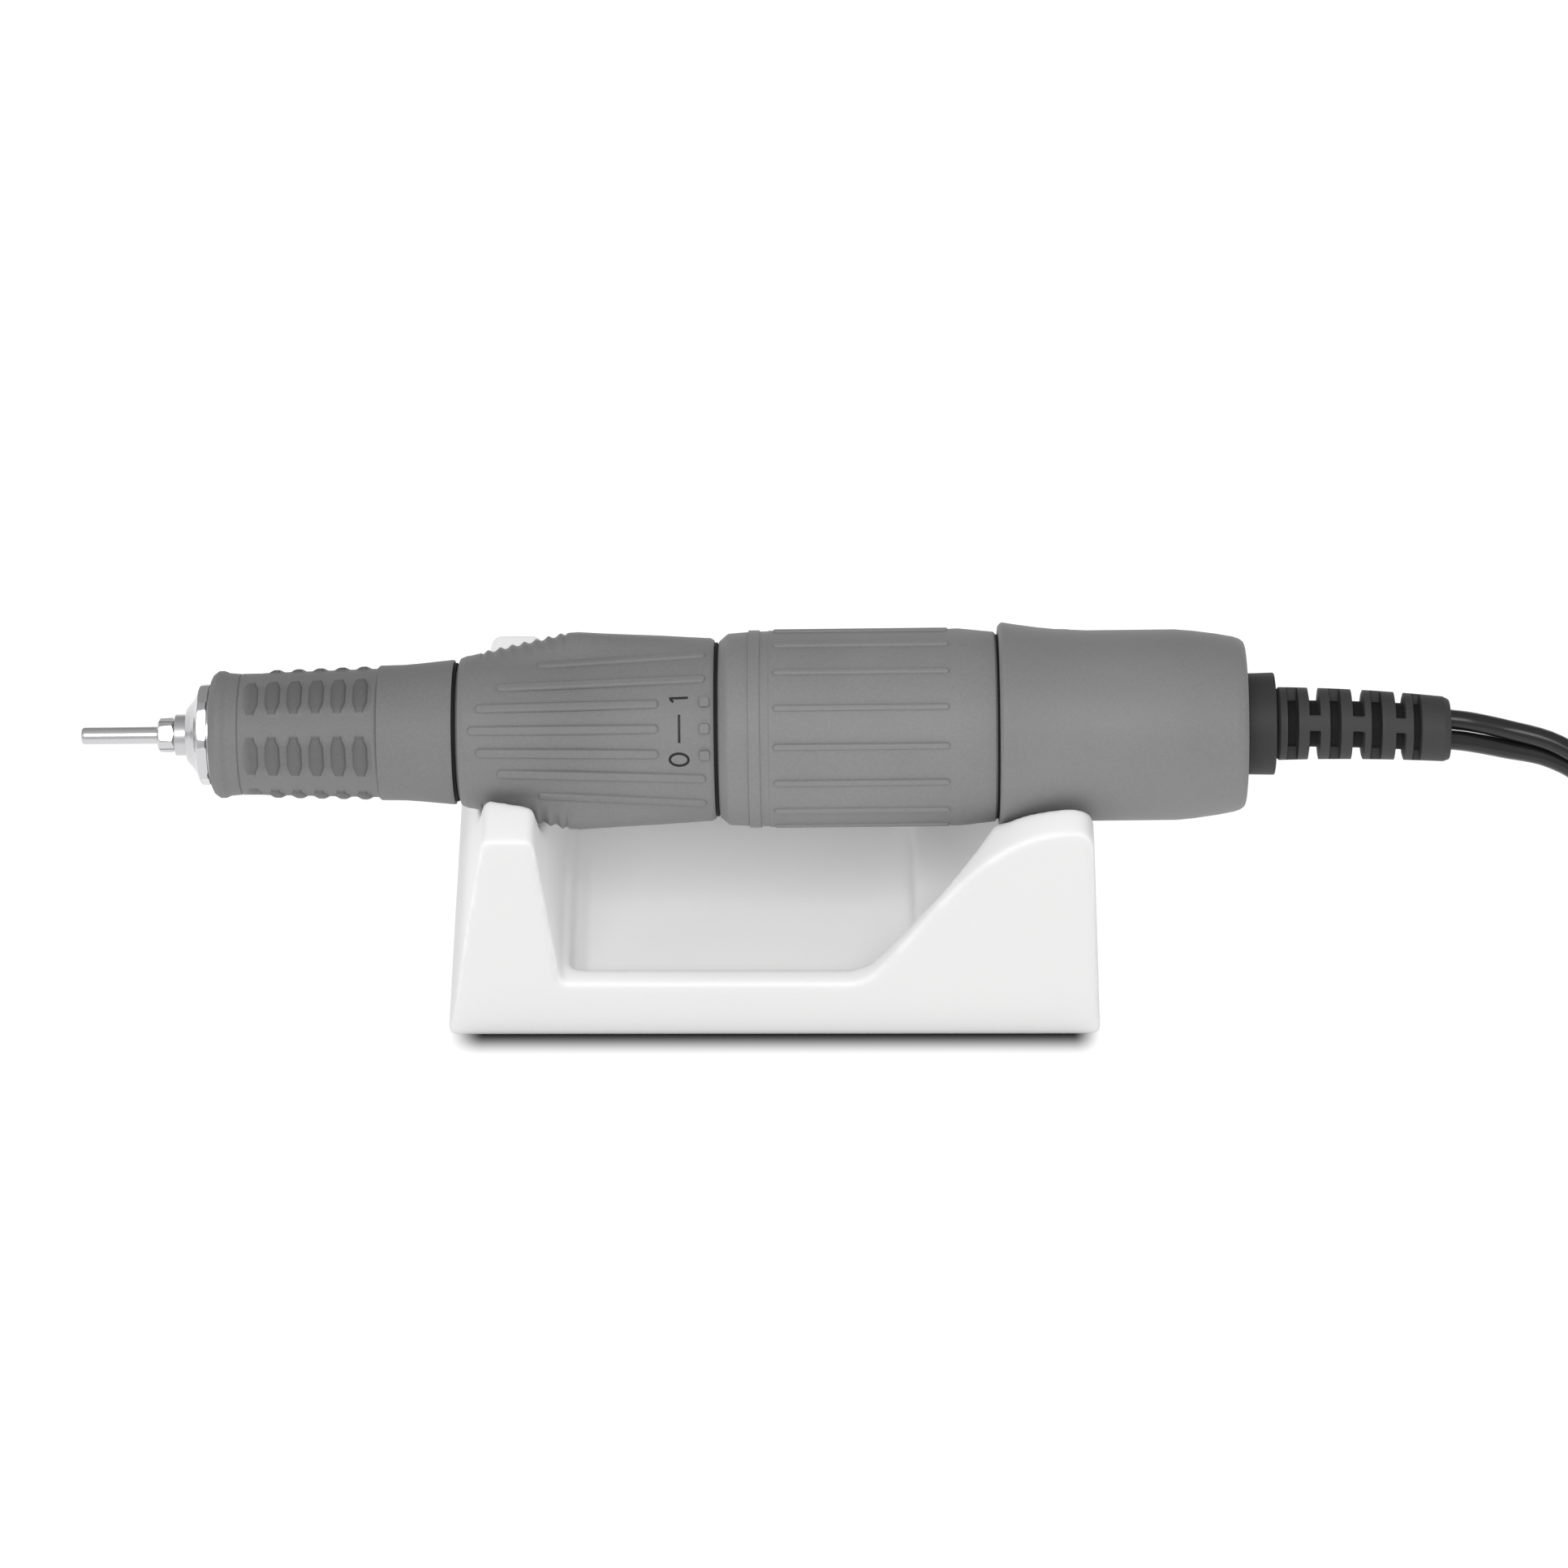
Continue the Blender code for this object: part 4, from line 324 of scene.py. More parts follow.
def floor_finish():
    """Pale floor with the soft strip of shadow under the front foot."""
    made, nodes, shader = new_finish("studio_floor")
    read = here(nodes)
    x, y, _ = xyz(nodes, read)
    # Painted shadow: a soft dark strip in the floor's colour and glow under the cradle's front foot, with faint random
    # spots.
    mask = between(x, *SHADOW_STRIP_X) * between(y, *SHADOW_STRIP_Y).power(1.4)
    shadow_and_spots = mask + (noise(nodes, read, 30, 2.0) - 0.5) * 0.01
    nodes.plug(tint(nodes, shadow_and_spots, (0.3, 0.3, 0.3), (0.02, 0.02, 0.02)), shader.inputs["Base Color"])
    nodes.plug(tint(nodes, mask, (1, 1, 1), (0, 0, 0)), shader.inputs["Emission Color"])
    shader.inputs["Emission Strength"].default_value = FLOOR_GLOW
    shader.inputs["Roughness"].default_value = 0.9
    return made


def mesh_of(name, verts, faces):
    """A mesh from its points and faces."""
    mesh = bpy.data.meshes.new(name)
    mesh.from_pydata(verts, [], faces)
    return mesh


square = [(x * FLOOR_REACH, y * FLOOR_REACH, 0) for x, y in ((-1, -1), (1, -1), (1, 1), (-1, 1))]
floor = linked("floor", mesh_of("floor", square, [(0, 1, 2, 3)]))
floor.data.materials.append(floor_finish())
floor.data.transform(Matrix.Translation((0, 0, -FLOOR_DROP)))


# %% Sky and lamps
def lamp(name, place, aim, size, watts):
    """A square soft box."""
    data = bpy.data.lights.new(name, "AREA")
    data.shape, data.size, data.size_y, data.energy = "RECTANGLE", *size, watts
    made = linked(name, data)
    made.location = place
    made.rotation_mode = "QUATERNION"
    made.rotation_quaternion = (Vector(aim) - Vector(place)).to_track_quat("-Z", "Y")


def tent(bright, dim):
    """A white tent as the sky, bright over the front of the object and dimmer behind it."""
    sky = bpy.data.worlds.new("studio")
    sky.use_nodes = True
    nodes = Nodes(sky.node_tree)
    _, y, z = xyz(nodes, nodes.add("ShaderNodeTexCoord").outputs["Generated"])
    front = (z * 0.72 - y * 0.69).smooth(-0.3, 0.9)
    nodes.plug(front * (bright - dim) + dim, sky.node_tree.nodes["Background"].inputs["Strength"])
    sky.node_tree.nodes["Background"].inputs["Color"].default_value = (1, 1, 1, 1)
    return sky


bpy.context.scene.world = tent(0.68, 0.42)
bpy.context.scene.view_settings.view_transform = "Standard"
lamp("soft_top", (0.0, -0.71, 1.05), (0, 0, 0.02), (0.9, 0.6), 7.0)
lamp("soft_left", (-1.1, -0.45, 0.75), (0, 0, 0.03), (0.5, 0.6), 1.0)
print("stage ready")

# %% [markdown]
# ## The twin cord
# Two round sheathed leads run side by side out of the boot, down to the table and into a hank held by a strap,
# with the plug on top. The photograph shows only the first 16 mm or so, and the rest is a guess stored beyond the right
# edge of the view. The middle line is worked out as the solid's is, in finer steps, and two tubes are swept beside it.

# %% Sizes of the cord and its hank
CORD_R = 2.75 * MM
LAYER = 2 * CORD_R + 0.7 * MM
WAIST = 0.85
LANE = LAYER / WAIST
HANK_RUN, FOLD_R, FOLD_X = 68 * MM, 16.5 * MM, 150 * MM
HANK_FLOOR = 0.8 * MM + 0.6 * MM + CORD_R
PLACES = ((1, 0), (0, 0), (0, 1), (1, 1), (1, 2), (0, 2), (0, 3))
MOVES = ((0.75, 1.0), (0.62, 0.75), (0.5, 0.62), (0.27, 0.48), (0.125, 0.24), (0.0, 0.12))
PLUG_R = 6.2 * MM
PLUG_LANE, PLUG_LAYER = 0.5, (2 * LAYER + CORD_R + 0.3 * MM + PLUG_R) / LAYER
LEAD = (
    (100.5, -0.1, 36.0), (107.2, -0.9, 34.4), (112.4, -3.0, 31.3), (116.2, -8.4, 24.4), (120.4, -15.6, 15.3),
    (126.4, -21.5, 7.4),
)


def ease(value):
    value = min(max(value, 0), 1)
    return value * value * (3 - 2 * value)


# %% Middle line of the cord
def hank_point(turn, share):
    """Where the cord is at a share of one turn of the hank."""
    (lane, layer), (next_lane, next_layer) = PLACES[turn], PLACES[turn + 1]
    low, high = MOVES[turn]
    t = ease((share - low) / (high - low))
    lane, layer = lane + (next_lane - lane) * t, layer + (next_layer - layer) * t
    if turn == len(MOVES) - 1:
        t = ease((share - 0.27) / 0.23)
        lane, layer = lane + PLUG_LANE * t, layer + (PLUG_LAYER - layer) * t
    radius, height = FOLD_R + lane * LANE, HANK_FLOOR + layer * LAYER
    quarter, t = divmod(share * 4, 1)
    drawn = 1 - (1 - WAIST) * math.sin(math.pi * t) ** 2
    if quarter in (0, 2):
        way = 1 if quarter == 0 else -1
        return Vector((FOLD_X + HANK_RUN * (t if way > 0 else 1 - t), -way * radius * drawn, height))
    way = 1 if quarter == 1 else -1
    middle = FOLD_X + (HANK_RUN if way > 0 else 0)
    return Vector((middle + way * radius * math.sin(math.pi * t), -way * radius * math.cos(math.pi * t), height))


def through(points, steps):
    """A smooth line through points, with so many steps between each pair."""
    points = [Vector(p) for p in points]
    padded = [2 * points[0] - points[1], *points, 2 * points[-1] - points[-2]]
    line = []
    for a, b, c, d in zip(padded, padded[1:], padded[2:], padded[3:]):
        square, cube = 2 * a - 5 * b + 4 * c - d, 3 * b - a - 3 * c + d
        line += [(2 * b + (c - a) * t + square * t**2 + cube * t**3) / 2 for t in (i / steps for i in range(steps))]
    return [*line, points[-1]]


def cord_line():
    """The whole middle line: boot, lead, hank, plug."""
    start = Vector((93.0, 0, 37.7)) * MM
    leaving = Vector((0.985, 0, -0.17)).normalized()
    floor_start = Vector((FOLD_X - 2 * CORD_R, -FOLD_R - LANE, HANK_FLOOR))
    lead = [start - leaving * MM, start, start + leaving * CORD_R, *(Vector(p) * MM for p in LEAD)]
    lead += [floor_start - Vector((2 * CORD_R, 0, 0)), floor_start]
    line = through(lead, 5)
    steps, last = 52, len(MOVES) - 1
    for turn in range(last + 1):
        line += [hank_point(turn, i / steps) for i in range(steps) if turn < last or i / steps < 0.62]
    line.append(hank_point(last, 0.625))
    return [*line, line[-1] - Vector((6 * MM + 2 * CORD_R, 0, 0))]


path = cord_line()
cord_length = sum((b - a).length for a, b in zip(path, path[1:]))
print("cord, mm", round(cord_length / MM), "points", len(path))


# %% [markdown]
# A pair of tubes needs a direction across the cord at each point. It is carried along the line without twist, by
# turning it only as much as the line bends, and then a slow lay is added so that the two leads turn round each other.

# %% Tubes beside a line
def ways(line, closed=False):
    """The direction of a line at each of its points."""
    count, made = len(line), []
    for i, point in enumerate(line):
        before = line[i - 1] if i or closed else point
        after = line[(i + 1) % count] if i + 1 < count or closed else point
        made.append((after - before).normalized())
    return made


def ring_faces(rings, sides, closed=False, first=0):
    """Faces of rings of points in a row, capped at both ends unless the row closes on itself."""
    faces = []
    for i in range(rings if closed else rings - 1):
        a, b = first + i * sides, first + (i + 1) % rings * sides
        faces += [(a + k, a + (k + 1) % sides, b + (k + 1) % sides, b + k) for k in range(sides)]
    if not closed:
        last = first + (rings - 1) * sides
        faces += [tuple(reversed(range(first, first + sides))), tuple(range(last, last + sides))]
    return faces


def strand_rings(line, radius, apart, lay, sides=14):
    """Rings of points for tubes beside the line: apart is each tube's distance from it, lay a turn per metre."""
    tangents = ways(line)
    spokes = [(math.cos(TURN * j / sides), math.sin(TURN * j / sides)) for j in range(sides)]
    up = Vector((0, 0.72, 0.69))
    up = (up - up.dot(tangents[0]) * tangents[0]).normalized()
    rings, run = [[] for _ in apart], 0.0
    for i, (point, tangent) in enumerate(zip(line, tangents)):
        if i:
            run += (point - line[i - 1]).length
            up = tangents[i - 1].rotation_difference(tangent) @ up
            up = (up - up.dot(tangent) * tangent).normalized()
        across = Matrix.Rotation(TURN * lay * run, 3, tangent) @ up
        over = tangent.cross(across)
        for ring, distance in zip(rings, apart):
            middle = point + across * distance
            ring.append([middle + (across * c + over * s) * radius for c, s in spokes])
    return rings


def tube_mesh(name, tubes):
    """Closed tubes from rings of points."""
    verts, faces = [], []
    for rings in tubes:
        faces += ring_faces(len(rings), len(rings[0]), first=len(verts))
        verts += [p for ring in rings for p in ring]
    return mesh_of(name, verts, faces)


# %% [markdown]
# ## Handing a piece over
# A finished mesh becomes an object at the origin, gets its finish, is told which body carries it and which solids
# it stands for. One function keeps that the same for all.

# %% Finish a piece
def cleaned(mesh, merge):
    """Joins points closer than merge, in millimetres, and turns all faces outwards."""
    work = bmesh.new()
    work.from_mesh(mesh)
    bmesh.ops.remove_doubles(work, verts=work.verts, dist=merge * MM)
    bmesh.ops.recalc_face_normals(work, faces=work.faces)
    work.to_mesh(mesh)
    work.free()


def piece(name, mesh, finish, body, stands_for=(), smooth=35):
    """Link a mesh as a piece with outward faces, its finish, its body and the solids it replaces."""
    cleaned(mesh, 0.0005)
    mesh.materials.clear()
    mesh.materials.append(finish)
    made = linked(name, mesh)
    mesh.shade_smooth()
    mesh.set_sharp_from_angle(angle=math.radians(smooth))
    if body:
        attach(made, body)
    if stands_for:
        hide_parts(*stands_for)
    print(name, "faces", len(mesh.polygons))
    return made


# %% [markdown]
# The cord leaves the boot along the handpiece and lies on the table at the hank. It bends between the two, and the
# bend ends before the first loop.

# %% The cord itself
STRAND_R, STRAND_GAP, TURNS_PER_METRE = CORD_R / 2, 0.985, 8.0
pair = tube_mesh("twin_cord", strand_rings(path, STRAND_R * STRAND_GAP, (STRAND_R, -STRAND_R), TURNS_PER_METRE))
twin_cord = piece("twin_cord", pair, VINYL, None, ("cord_lead", "cord_hank"))
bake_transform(twin_cord)

# %% [markdown]
# ## Turned pieces
# Sleeve, ring, housing and cap are all bodies of rotation before anything is cut into them. The outline is a list
# of (distance from the tip, radius) in millimetres, and a third number rounds that corner, as a radius on a
# drawing does. What isn't round, such as flats or wings, is a rule that changes the radius of each point.

# %% Outline with rounded corners
def filleted(outline, steps=4):
    """Corner points replaced by arcs where a third number gives a radius."""
    flat = [Vector(p[:2]) for p in outline]
    made = []
    for i, corner in enumerate(flat):
        radius = outline[i][2] if len(outline[i]) > 2 else 0
        into, out = flat[i - 1] - corner, flat[(i + 1) % len(flat)] - corner
        angle = into.angle(out) if radius else math.pi
        if not radius or angle > 3.1:
            made.append(corner)
            continue
        reach = min(radius / math.tan(angle / 2), into.length * 0.49, out.length * 0.49)
        start, end = corner + into.normalized() * reach, corner + out.normalized() * reach
        for k in range(steps + 1):
            t = k / steps
            made.append(start * (1 - t) ** 2 + corner * 2 * t * (1 - t) + end * t**2)
    return made


def dense(outline, step):
    """The same outline with no two points further apart than step."""
    made = []
    for a, b in zip(outline, [*outline[1:], outline[0]]):
        count = max(1, math.ceil((b - a).length / step))
        made += [a.lerp(b, k / count) for k in range(count)]
    return made


# %% Turn an outline round the axis
def turned(name, outline, around=180, rule=None, matrix=AXIS):
    """A closed outline turned round the axis; rule(station, radius, angle) gives the radii in millimetres."""
    angles = np.linspace(0, TURN, around, endpoint=False)
    points = np.array([tuple(p) for p in outline])
    station, angle = np.meshgrid(points[:, 0], angles, indexing="ij")
    radius = np.repeat(points[:, 1][:, None], len(angles), axis=1)
    if rule:
        radius = rule(station, radius, angle)
    local = np.stack((radius * np.cos(angle), radius * np.sin(angle), station), axis=-1).reshape(-1, 3) * MM
    mesh = mesh_of(name, local.tolist(), ring_faces(len(points), len(angles), closed=True))
    if matrix is not None:
        mesh.transform(matrix)
    return mesh


def soft_step(low, high, value):
    """0 below low, 1 above high, eased between, for whole arrays."""
    t = np.clip((value - low) / (high - low), 0, 1)
    return t * t * (3 - 2 * t)


def from_turn(angle, middle, count):
    """Angle to the nearest of count equal places round the axis, one of them at middle."""
    step = TURN / count
    return (angle - middle + step / 2) % step - step / 2


# %% [markdown]
# ## Rod, collet, spindle and nose cap
# The rod is a 2.35 mm shank, ground and polished, with a domed end. The collet's head is hexagonal so that a key
# can hold it. The nose cap is a domed nut with eight flats. A nut is a round bar milled by planes: where a plane
# is nearer to the axis than the round, the radius is the plane's, and that one rule makes both.

# %% Flats milled on a round body
def flats(count, distance, first, low, high):
    """A rule that mills flats at that distance from the axis, between two stations."""

    def rule(station, radius, angle):
        plane = distance / np.cos(from_turn(angle, first, count))
        return np.where((station > low) & (station < high), np.minimum(radius, plane), radius)

    return rule


# %% Rod and collet
rod = filleted([(0, 0), (0, 1.175, 0.5), (44.5, 1.175, 0.3), (44.5, 0)], 6)
piece("rod", turned("rod", rod, 64), STEEL, "blank", ("mandrel_blank",))
head = [
    (10.42, 1.4), (10.42, 1.8, 0.15), (10.75, 2.3, 0.25), (12.4, 2.37, 0.15), (12.66, 2.1, 0.1),
    (12.67, 1.72), (45.2, 1.72), (45.2, 1.4),
]
hexagon = flats(6, 2.1, math.radians(-6), 10.4, 12.65)


def slit(station, radius, angle):
    """The hexagon with the three slits that let the collet close."""
    open_here = (np.abs(from_turn(angle, math.radians(65), 3)) < 0.06) & (station > 10.3) & (station < 12.7)
    return np.where(open_here, np.minimum(radius, 1.5), hexagon(station, radius, angle))


head_mesh = turned("collet_head", dense(filleted(head[:6]) + filleted(head[5:])[1:], 0.12), 288, slit)
piece("collet_head", head_mesh, STEEL, "chuck", ("collet",), 60)

# %% Spindle and nose cap
shaft = [
    (12.81, 1.77), (12.81, 2.8, 0.12), (21.0, 2.8), (21.01, 3.0), (40.3, 3.0), (40.31, 4.2, 0.2), (59.3, 4.2, 0.2),
    (59.31, 3.0), (75.6, 3.0, 0.2), (75.61, 2.4), (57.2, 2.4), (57.2, 1.77),
]
piece("spindle_nose", turned("spindle_nose", filleted(shaft), 96), TURNED, "spindle", ("spindle",))
cap = [
    (14.41, 3.1), (14.41, 3.6, 0.15), (14.75, 4.0), (15.3, 4.65, 0.4), (15.75, 5.3), (16.05, 6.1, 0.3),
    (16.35, 6.84, 0.3), (17.4, 6.9, 0.1), (17.6, 6.8, 0.1), (17.6, 6.35), (21.0, 6.35), (21.0, 4.5), (15.83, 4.5),
    (15.83, 3.1),
]
octagon = flats(8, 6.55, math.radians(-11.6), 14.5, 17.58)
cap_mesh = turned("nose_cap_dome", dense(filleted(cap, 5), 0.09), 352, octagon)
piece("nose_cap_dome", cap_mesh, STEEL, "handpiece", ("nose_cap",), 70)

# %% [markdown]
# ## Front sleeve
# The fingers hold the handpiece here, so six rows of short ridges run round it, with smooth lands between. One
# rule says where a ridge swells, as a share of the pitch along the axis and of the row round it. Geometry Nodes
# read it to shape the blank, and the finish reads it to paint shade onto each ridge, so shape and painted shade
# can't drift apart. A finer or a coarser grip is a matter of its named sizes.

# %% A geometry tree with named sizes
def size_tree(name, sizes):
    """A Geometry Nodes tree with an input for each size, and its Nodes and input sockets."""
    tree = bpy.data.node_groups.new(name, "GeometryNodeTree")
    tree.interface.new_socket("Geometry", in_out="INPUT", socket_type="NodeSocketGeometry")
    tree.interface.new_socket("Geometry", in_out="OUTPUT", socket_type="NodeSocketGeometry")
    for label, kind in sizes.items():
        tree.interface.new_socket(label, in_out="INPUT", socket_type=kind)
    nodes = Nodes(tree)
    entry, leave = nodes.add("NodeGroupInput"), nodes.add("NodeGroupOutput")
    return tree, nodes, entry, leave


def dressed(nodes, shape, entry, leave):
    """Give a node's geometry the finish that goes into the tree, and send it out."""
    sockets = {"Geometry": shape.outputs[0], "Material": entry.outputs["Finish"]}
    nodes.plug(nodes.add("GeometryNodeSetMaterial", None, sockets).outputs[0], leave.inputs[0])


def made_by(tree, mesh, values):
    """The plain mesh that a tree makes of a mesh with these values of its named sizes."""
    holder = linked(tree.name, mesh)
    modifier = holder.modifiers.new(tree.name, "NODES")
    modifier.node_group = tree
    for item in tree.interface.items_tree:
        if item.in_out == "INPUT" and item.name in values:
            modifier[item.identifier] = values[item.name]
    ready = holder.evaluated_get(bpy.context.evaluated_depsgraph_get())
    made = bpy.data.meshes.new_from_object(ready)
    holder.modifiers.clear()
    bpy.data.objects.remove(holder)
    return made


# %% The rule of the finger ridges
RIDGE_SIZES = {
    "First": 25.55, "Pitch": 2.96, "Ridges": 5.0, "Height": 0.36, "Row Half": math.radians(19),
    "Row Turn": math.radians(23), "Rows": 6.0,
}


def ridge_rule(station, angle, size):
    """How far through a pitch a place is, its angle off the middle of a row, and 1 on the ridged length."""
    row = TURN / size["Rows"]
    off = (angle - size["Row Turn"] + row * 10.5).maths("MODULO", row) - row * 0.5
    phase = ((station - size["First"]) / size["Pitch"] + 20).maths("FRACT")
    first, last = size["First"] - size["Pitch"] * 0.1, size["First"] + size["Pitch"] * (size["Ridges"] - 0.04)
    bed = station.smooth(first - 0.1, first + 0.1) * (1 - station.smooth(last - 0.1, last + 0.1))
    return phase, off.abs(), bed


def ridge_painted_shade(nodes):
    """Painted shade on the finger ridges: a dark band over each ridge, a darker line at either end of it, the gaps
    between them a little darker, and dark lines in the groove and at the step.
    """
    station, angle = on_axis(nodes)
    phase, off, bed = ridge_rule(station, angle, RIDGE_SIZES)
    half = RIDGE_SIZES["Row Half"]
    taper = off.smooth(half - 0.20, half)
    inside = (1 - off.smooth(half - 0.02, half + 0.03)) * station.smooth(22.0, 23.8) * (1 - station.smooth(39.8, 40.2))
    low, high = taper * 0.14, 0.74 - taper * 0.16
    band = phase.smooth(low - 0.02, low + 0.06) * (1 - phase.smooth(high - 0.05, high))
    lines = (phase.smooth(high - 0.15, high - 0.05) + (1 - phase.smooth(low + 0.04, low + 0.14)) * 0.5) * band
    edges = (station - 40.62).abs().smooth(0.12, 0.03) + (station - 21.9).abs().smooth(0.12, 0.03) * 0.6
    return (band * 0.42 + lines * 0.28 + (1 - band) * (1 - taper) * 0.2) * inside + edges * 0.5


# The sleeve's colour carries the painted shade of the ridges.
GRIP = moulded("sleeve_plastic", 0.178, 0.60, 2600, 0.03, 0.14, darker=ridge_painted_shade)


# %% Tree that shapes the ridges
def ridge_tree():
    """Raises the ridges on a blank that stands on the Z axis."""
    kinds = {label: "NodeSocketFloat" for label in RIDGE_SIZES}
    tree, nodes, entry, leave = size_tree("finger_ridges", {**kinds, "Finish": "NodeSocketMaterial"})
    size = {label: nodes.number(entry, label) for label in RIDGE_SIZES}
    x, y, z = xyz(nodes, nodes.add("GeometryNodeInputPosition").outputs[0])
    radius = (x * x + y * y).power(0.5)
    phase, off, bed = ridge_rule(z / MM, y.maths("ARCTAN2", x), size)
    ridge = (phase.smooth(0.0, 0.3) * (1 - phase.smooth(0.44, 0.75))).power(0.7)
    end = 1 - off.smooth(size["Row Half"] - 0.06, size["Row Half"] + 0.05)
    scale = ridge * end * bed * size["Height"] * MM * radius.smooth(6.9 * MM, 7.4 * MM) / radius
    push = nodes.add("ShaderNodeCombineXYZ", None, {0: x * scale, 1: y * scale, 2: 0.0})
    sockets = {"Geometry": entry.outputs["Geometry"], "Offset": push.outputs[0]}
    dressed(nodes, nodes.add("GeometryNodeSetPosition", None, sockets), entry, leave)
    return tree


# %% Blank of the sleeve and its ridges
sleeve = [
    (17.91, 6.85), (17.91, 7.5, 0.2), (18.2, 8.1, 0.3), (18.9, 8.62, 0.4), (19.6, 8.62, 0.35), (20.3, 8.33, 0.2),
    (21.8, 8.2), (21.84, 8.12), (22.0, 8.12), (22.04, 8.21), (24.5, 8.23, 0.3), (25.2, 8.28, 0.5), (40.35, 8.72, 0.2),
    (40.75, 9.13, 0.15), (44.0, 9.2, 3), (46.1, 9.36, 2), (48.5, 9.6, 2), (50.5, 9.8, 0.1),
    (50.81, 9.76, 0.05), (50.81, 6.85),
]
blank = turned("sleeve_blank", dense(filleted(sleeve), 0.15), 272, None, None)
sleeve_mesh = made_by(ridge_tree(), blank, {**RIDGE_SIZES, "Finish": GRIP})
sleeve_mesh.transform(AXIS)
piece("ridged_sleeve", sleeve_mesh, GRIP, "handpiece", ("front_sleeve",), 50)

# %% [markdown]
# ## Release ring
# Turning this ring opens the chuck. Two wings give the thumb something to push on, and their front slopes carry
# teeth. Wings and teeth grow smoothly out of the cone, so they are a rule on the radius again, here on whole
# arrays in Python, with more points where the teeth are.

# %% Cone, wings and teeth
RING_S, RING_L = 51.26, 34.85
cone_at = np.array([0, 0.42, 1.22, 2.27, 15.73, 34.3, 34.85]) + RING_S
cone_r = np.array([9.55, 9.98, 10.29, 10.45, 11.0, 12.32, 12.08])
wing_at = RING_S + RING_L * np.array([0, 0.06, 0.435, 0.47, 0.558, 0.67, 0.785, 0.9, 1.0])
wing_r = 2.35 * np.array([0, 0, 1.0, 1.0, 0.82, 0.62, 0.42, 0.19, 0])


def winged(station, radius, angle):
    """The ring's wings and teeth on its cone."""
    off = np.abs(from_turn(angle, TURN / 4, 2))
    wing = 1 - soft_step(math.radians(11), math.radians(36), off)
    count = (station - (RING_S + 0.071 * RING_L)) / (0.0469 * RING_L)
    tooth = 0.22 * (1 - np.abs(np.cos(math.pi * (count + 0.5))) ** 1.3 * 2) * ((count > 0.5) & (count < 7.5))
    lift = wing * (np.interp(station, wing_at, wing_r) + tooth * np.minimum(1, wing * 1.3))
    return np.where(radius > 9.4, radius + lift, radius)


cone = [(RING_S, 8.5), (RING_S, 8.95, 0.2)]
cone += [(s, r, 0.35) if r < 10 or s > 85 else (s, r, 0.8) for s, r in zip(cone_at[1:], cone_r[1:])]
cone += [(RING_S + RING_L, 8.5)]
ring_mesh = turned("winged_ring", dense(filleted(cone), 0.22), 320, winged)
piece("winged_ring", ring_mesh, RING, "release_ring", ("release_ring",), 40)

# %% [markdown]
# ## Bars round an axis
# Ribs on the ring, beads on the housing, balls in a bearing and pins in the plug are the same thing: a rounded bar,
# repeated round an axis. One tree makes them all. It stretches a sphere to a bar, sets one on each of a number of
# points on a circle, and turns each one to face outwards. A bar as long as it is wide stays a ball.

# %% Tree of bars round an axis
def bar_tree():
    """Rounded bars on a circle round the Z axis, each leaning by a slope."""
    sizes = ("First", "Step", "Radius", "Start", "Length", "Width", "Height", "Flat", "Slope", "Round")
    kinds = {label: "NodeSocketFloat" for label in sizes}
    kinds.update({"Count": "NodeSocketInt", "Sides": "NodeSocketInt", "Finish": "NodeSocketMaterial"})
    tree, nodes, entry, leave = size_tree("bars_round_axis", kinds)
    size = {label: nodes.number(entry, label) for label in (*sizes, "Count", "Sides")}
    sockets = {"Segments": size["Sides"], "Rings": size["Sides"], "Radius": 0.5}
    ball = nodes.add("GeometryNodeMeshUVSphere", None, sockets)
    x, y, z = xyz(nodes, nodes.add("GeometryNodeInputPosition").outputs[0])
    x, y, z = (v.maths("SIGN") * (v.abs() * 2).power(size["Round"]) * 0.5 for v in (x, y, z))
    straight = z * size["Width"] + z.maths("SIGN") * (size["Length"] - size["Width"]) * 0.5
    top = x.maths("MINIMUM", size["Flat"] * 0.5) * size["Height"] * 2.0
    shape = nodes.add("ShaderNodeCombineXYZ", None, {0: top, 1: y * size["Width"], 2: straight})
    bar = nodes.add("GeometryNodeSetPosition", None, {"Geometry": ball.outputs["Mesh"], "Position": shape.outputs[0]})
    index = nodes.number(nodes.add("GeometryNodeInputIndex"))
    angle = size["First"] + index * size["Step"]
    middle = size["Start"] + size["Length"] * 0.5
    sockets = {0: angle.cos() * size["Radius"], 1: angle.sin() * size["Radius"], 2: middle}
    place = nodes.add("ShaderNodeCombineXYZ", None, sockets)
    points = nodes.add("GeometryNodePoints", None, {"Count": size["Count"].socket, "Position": place.outputs[0]})
    spin = nodes.add("ShaderNodeCombineXYZ", None, {0: 0.0, 1: size["Slope"], 2: angle})
    sockets = {"Points": points.outputs[0], "Instance": bar.outputs[0], "Rotation": spin.outputs[0]}
    bars = nodes.add("GeometryNodeInstanceOnPoints", None, sockets)
    dressed(nodes, nodes.add("GeometryNodeRealizeInstances", None, {"Geometry": bars.outputs[0]}), entry, leave)
    return tree


BARS = bar_tree()


def bars(
    finish, count, step, radius, start, length, width, height, first=0.0, slope=0.0, sides=14, flat=1.0,
    matrix=AXIS, squared=1.0,
):
    """Bars round the axis as a mesh; lengths in millimetres, turns in degrees, flat the share left of the height."""
    values = {
        "Count": count, "Step": math.radians(step), "Radius": radius * MM, "Start": start * MM, "Length": length * MM,
        "Width": width * MM, "Height": height * MM, "First": math.radians(first), "Slope": slope, "Sides": sides,
        "Flat": flat, "Round": squared, "Finish": finish,
    }
    made = made_by(BARS, bpy.data.meshes.new("seed"), values)
    made.transform(matrix)
    return made


def together(name, meshes):
    """One mesh from several."""
    work = bmesh.new()
    for mesh in meshes:
        work.from_mesh(mesh)
    made = bpy.data.meshes.new(name)
    work.to_mesh(made)
    work.free()
    return made


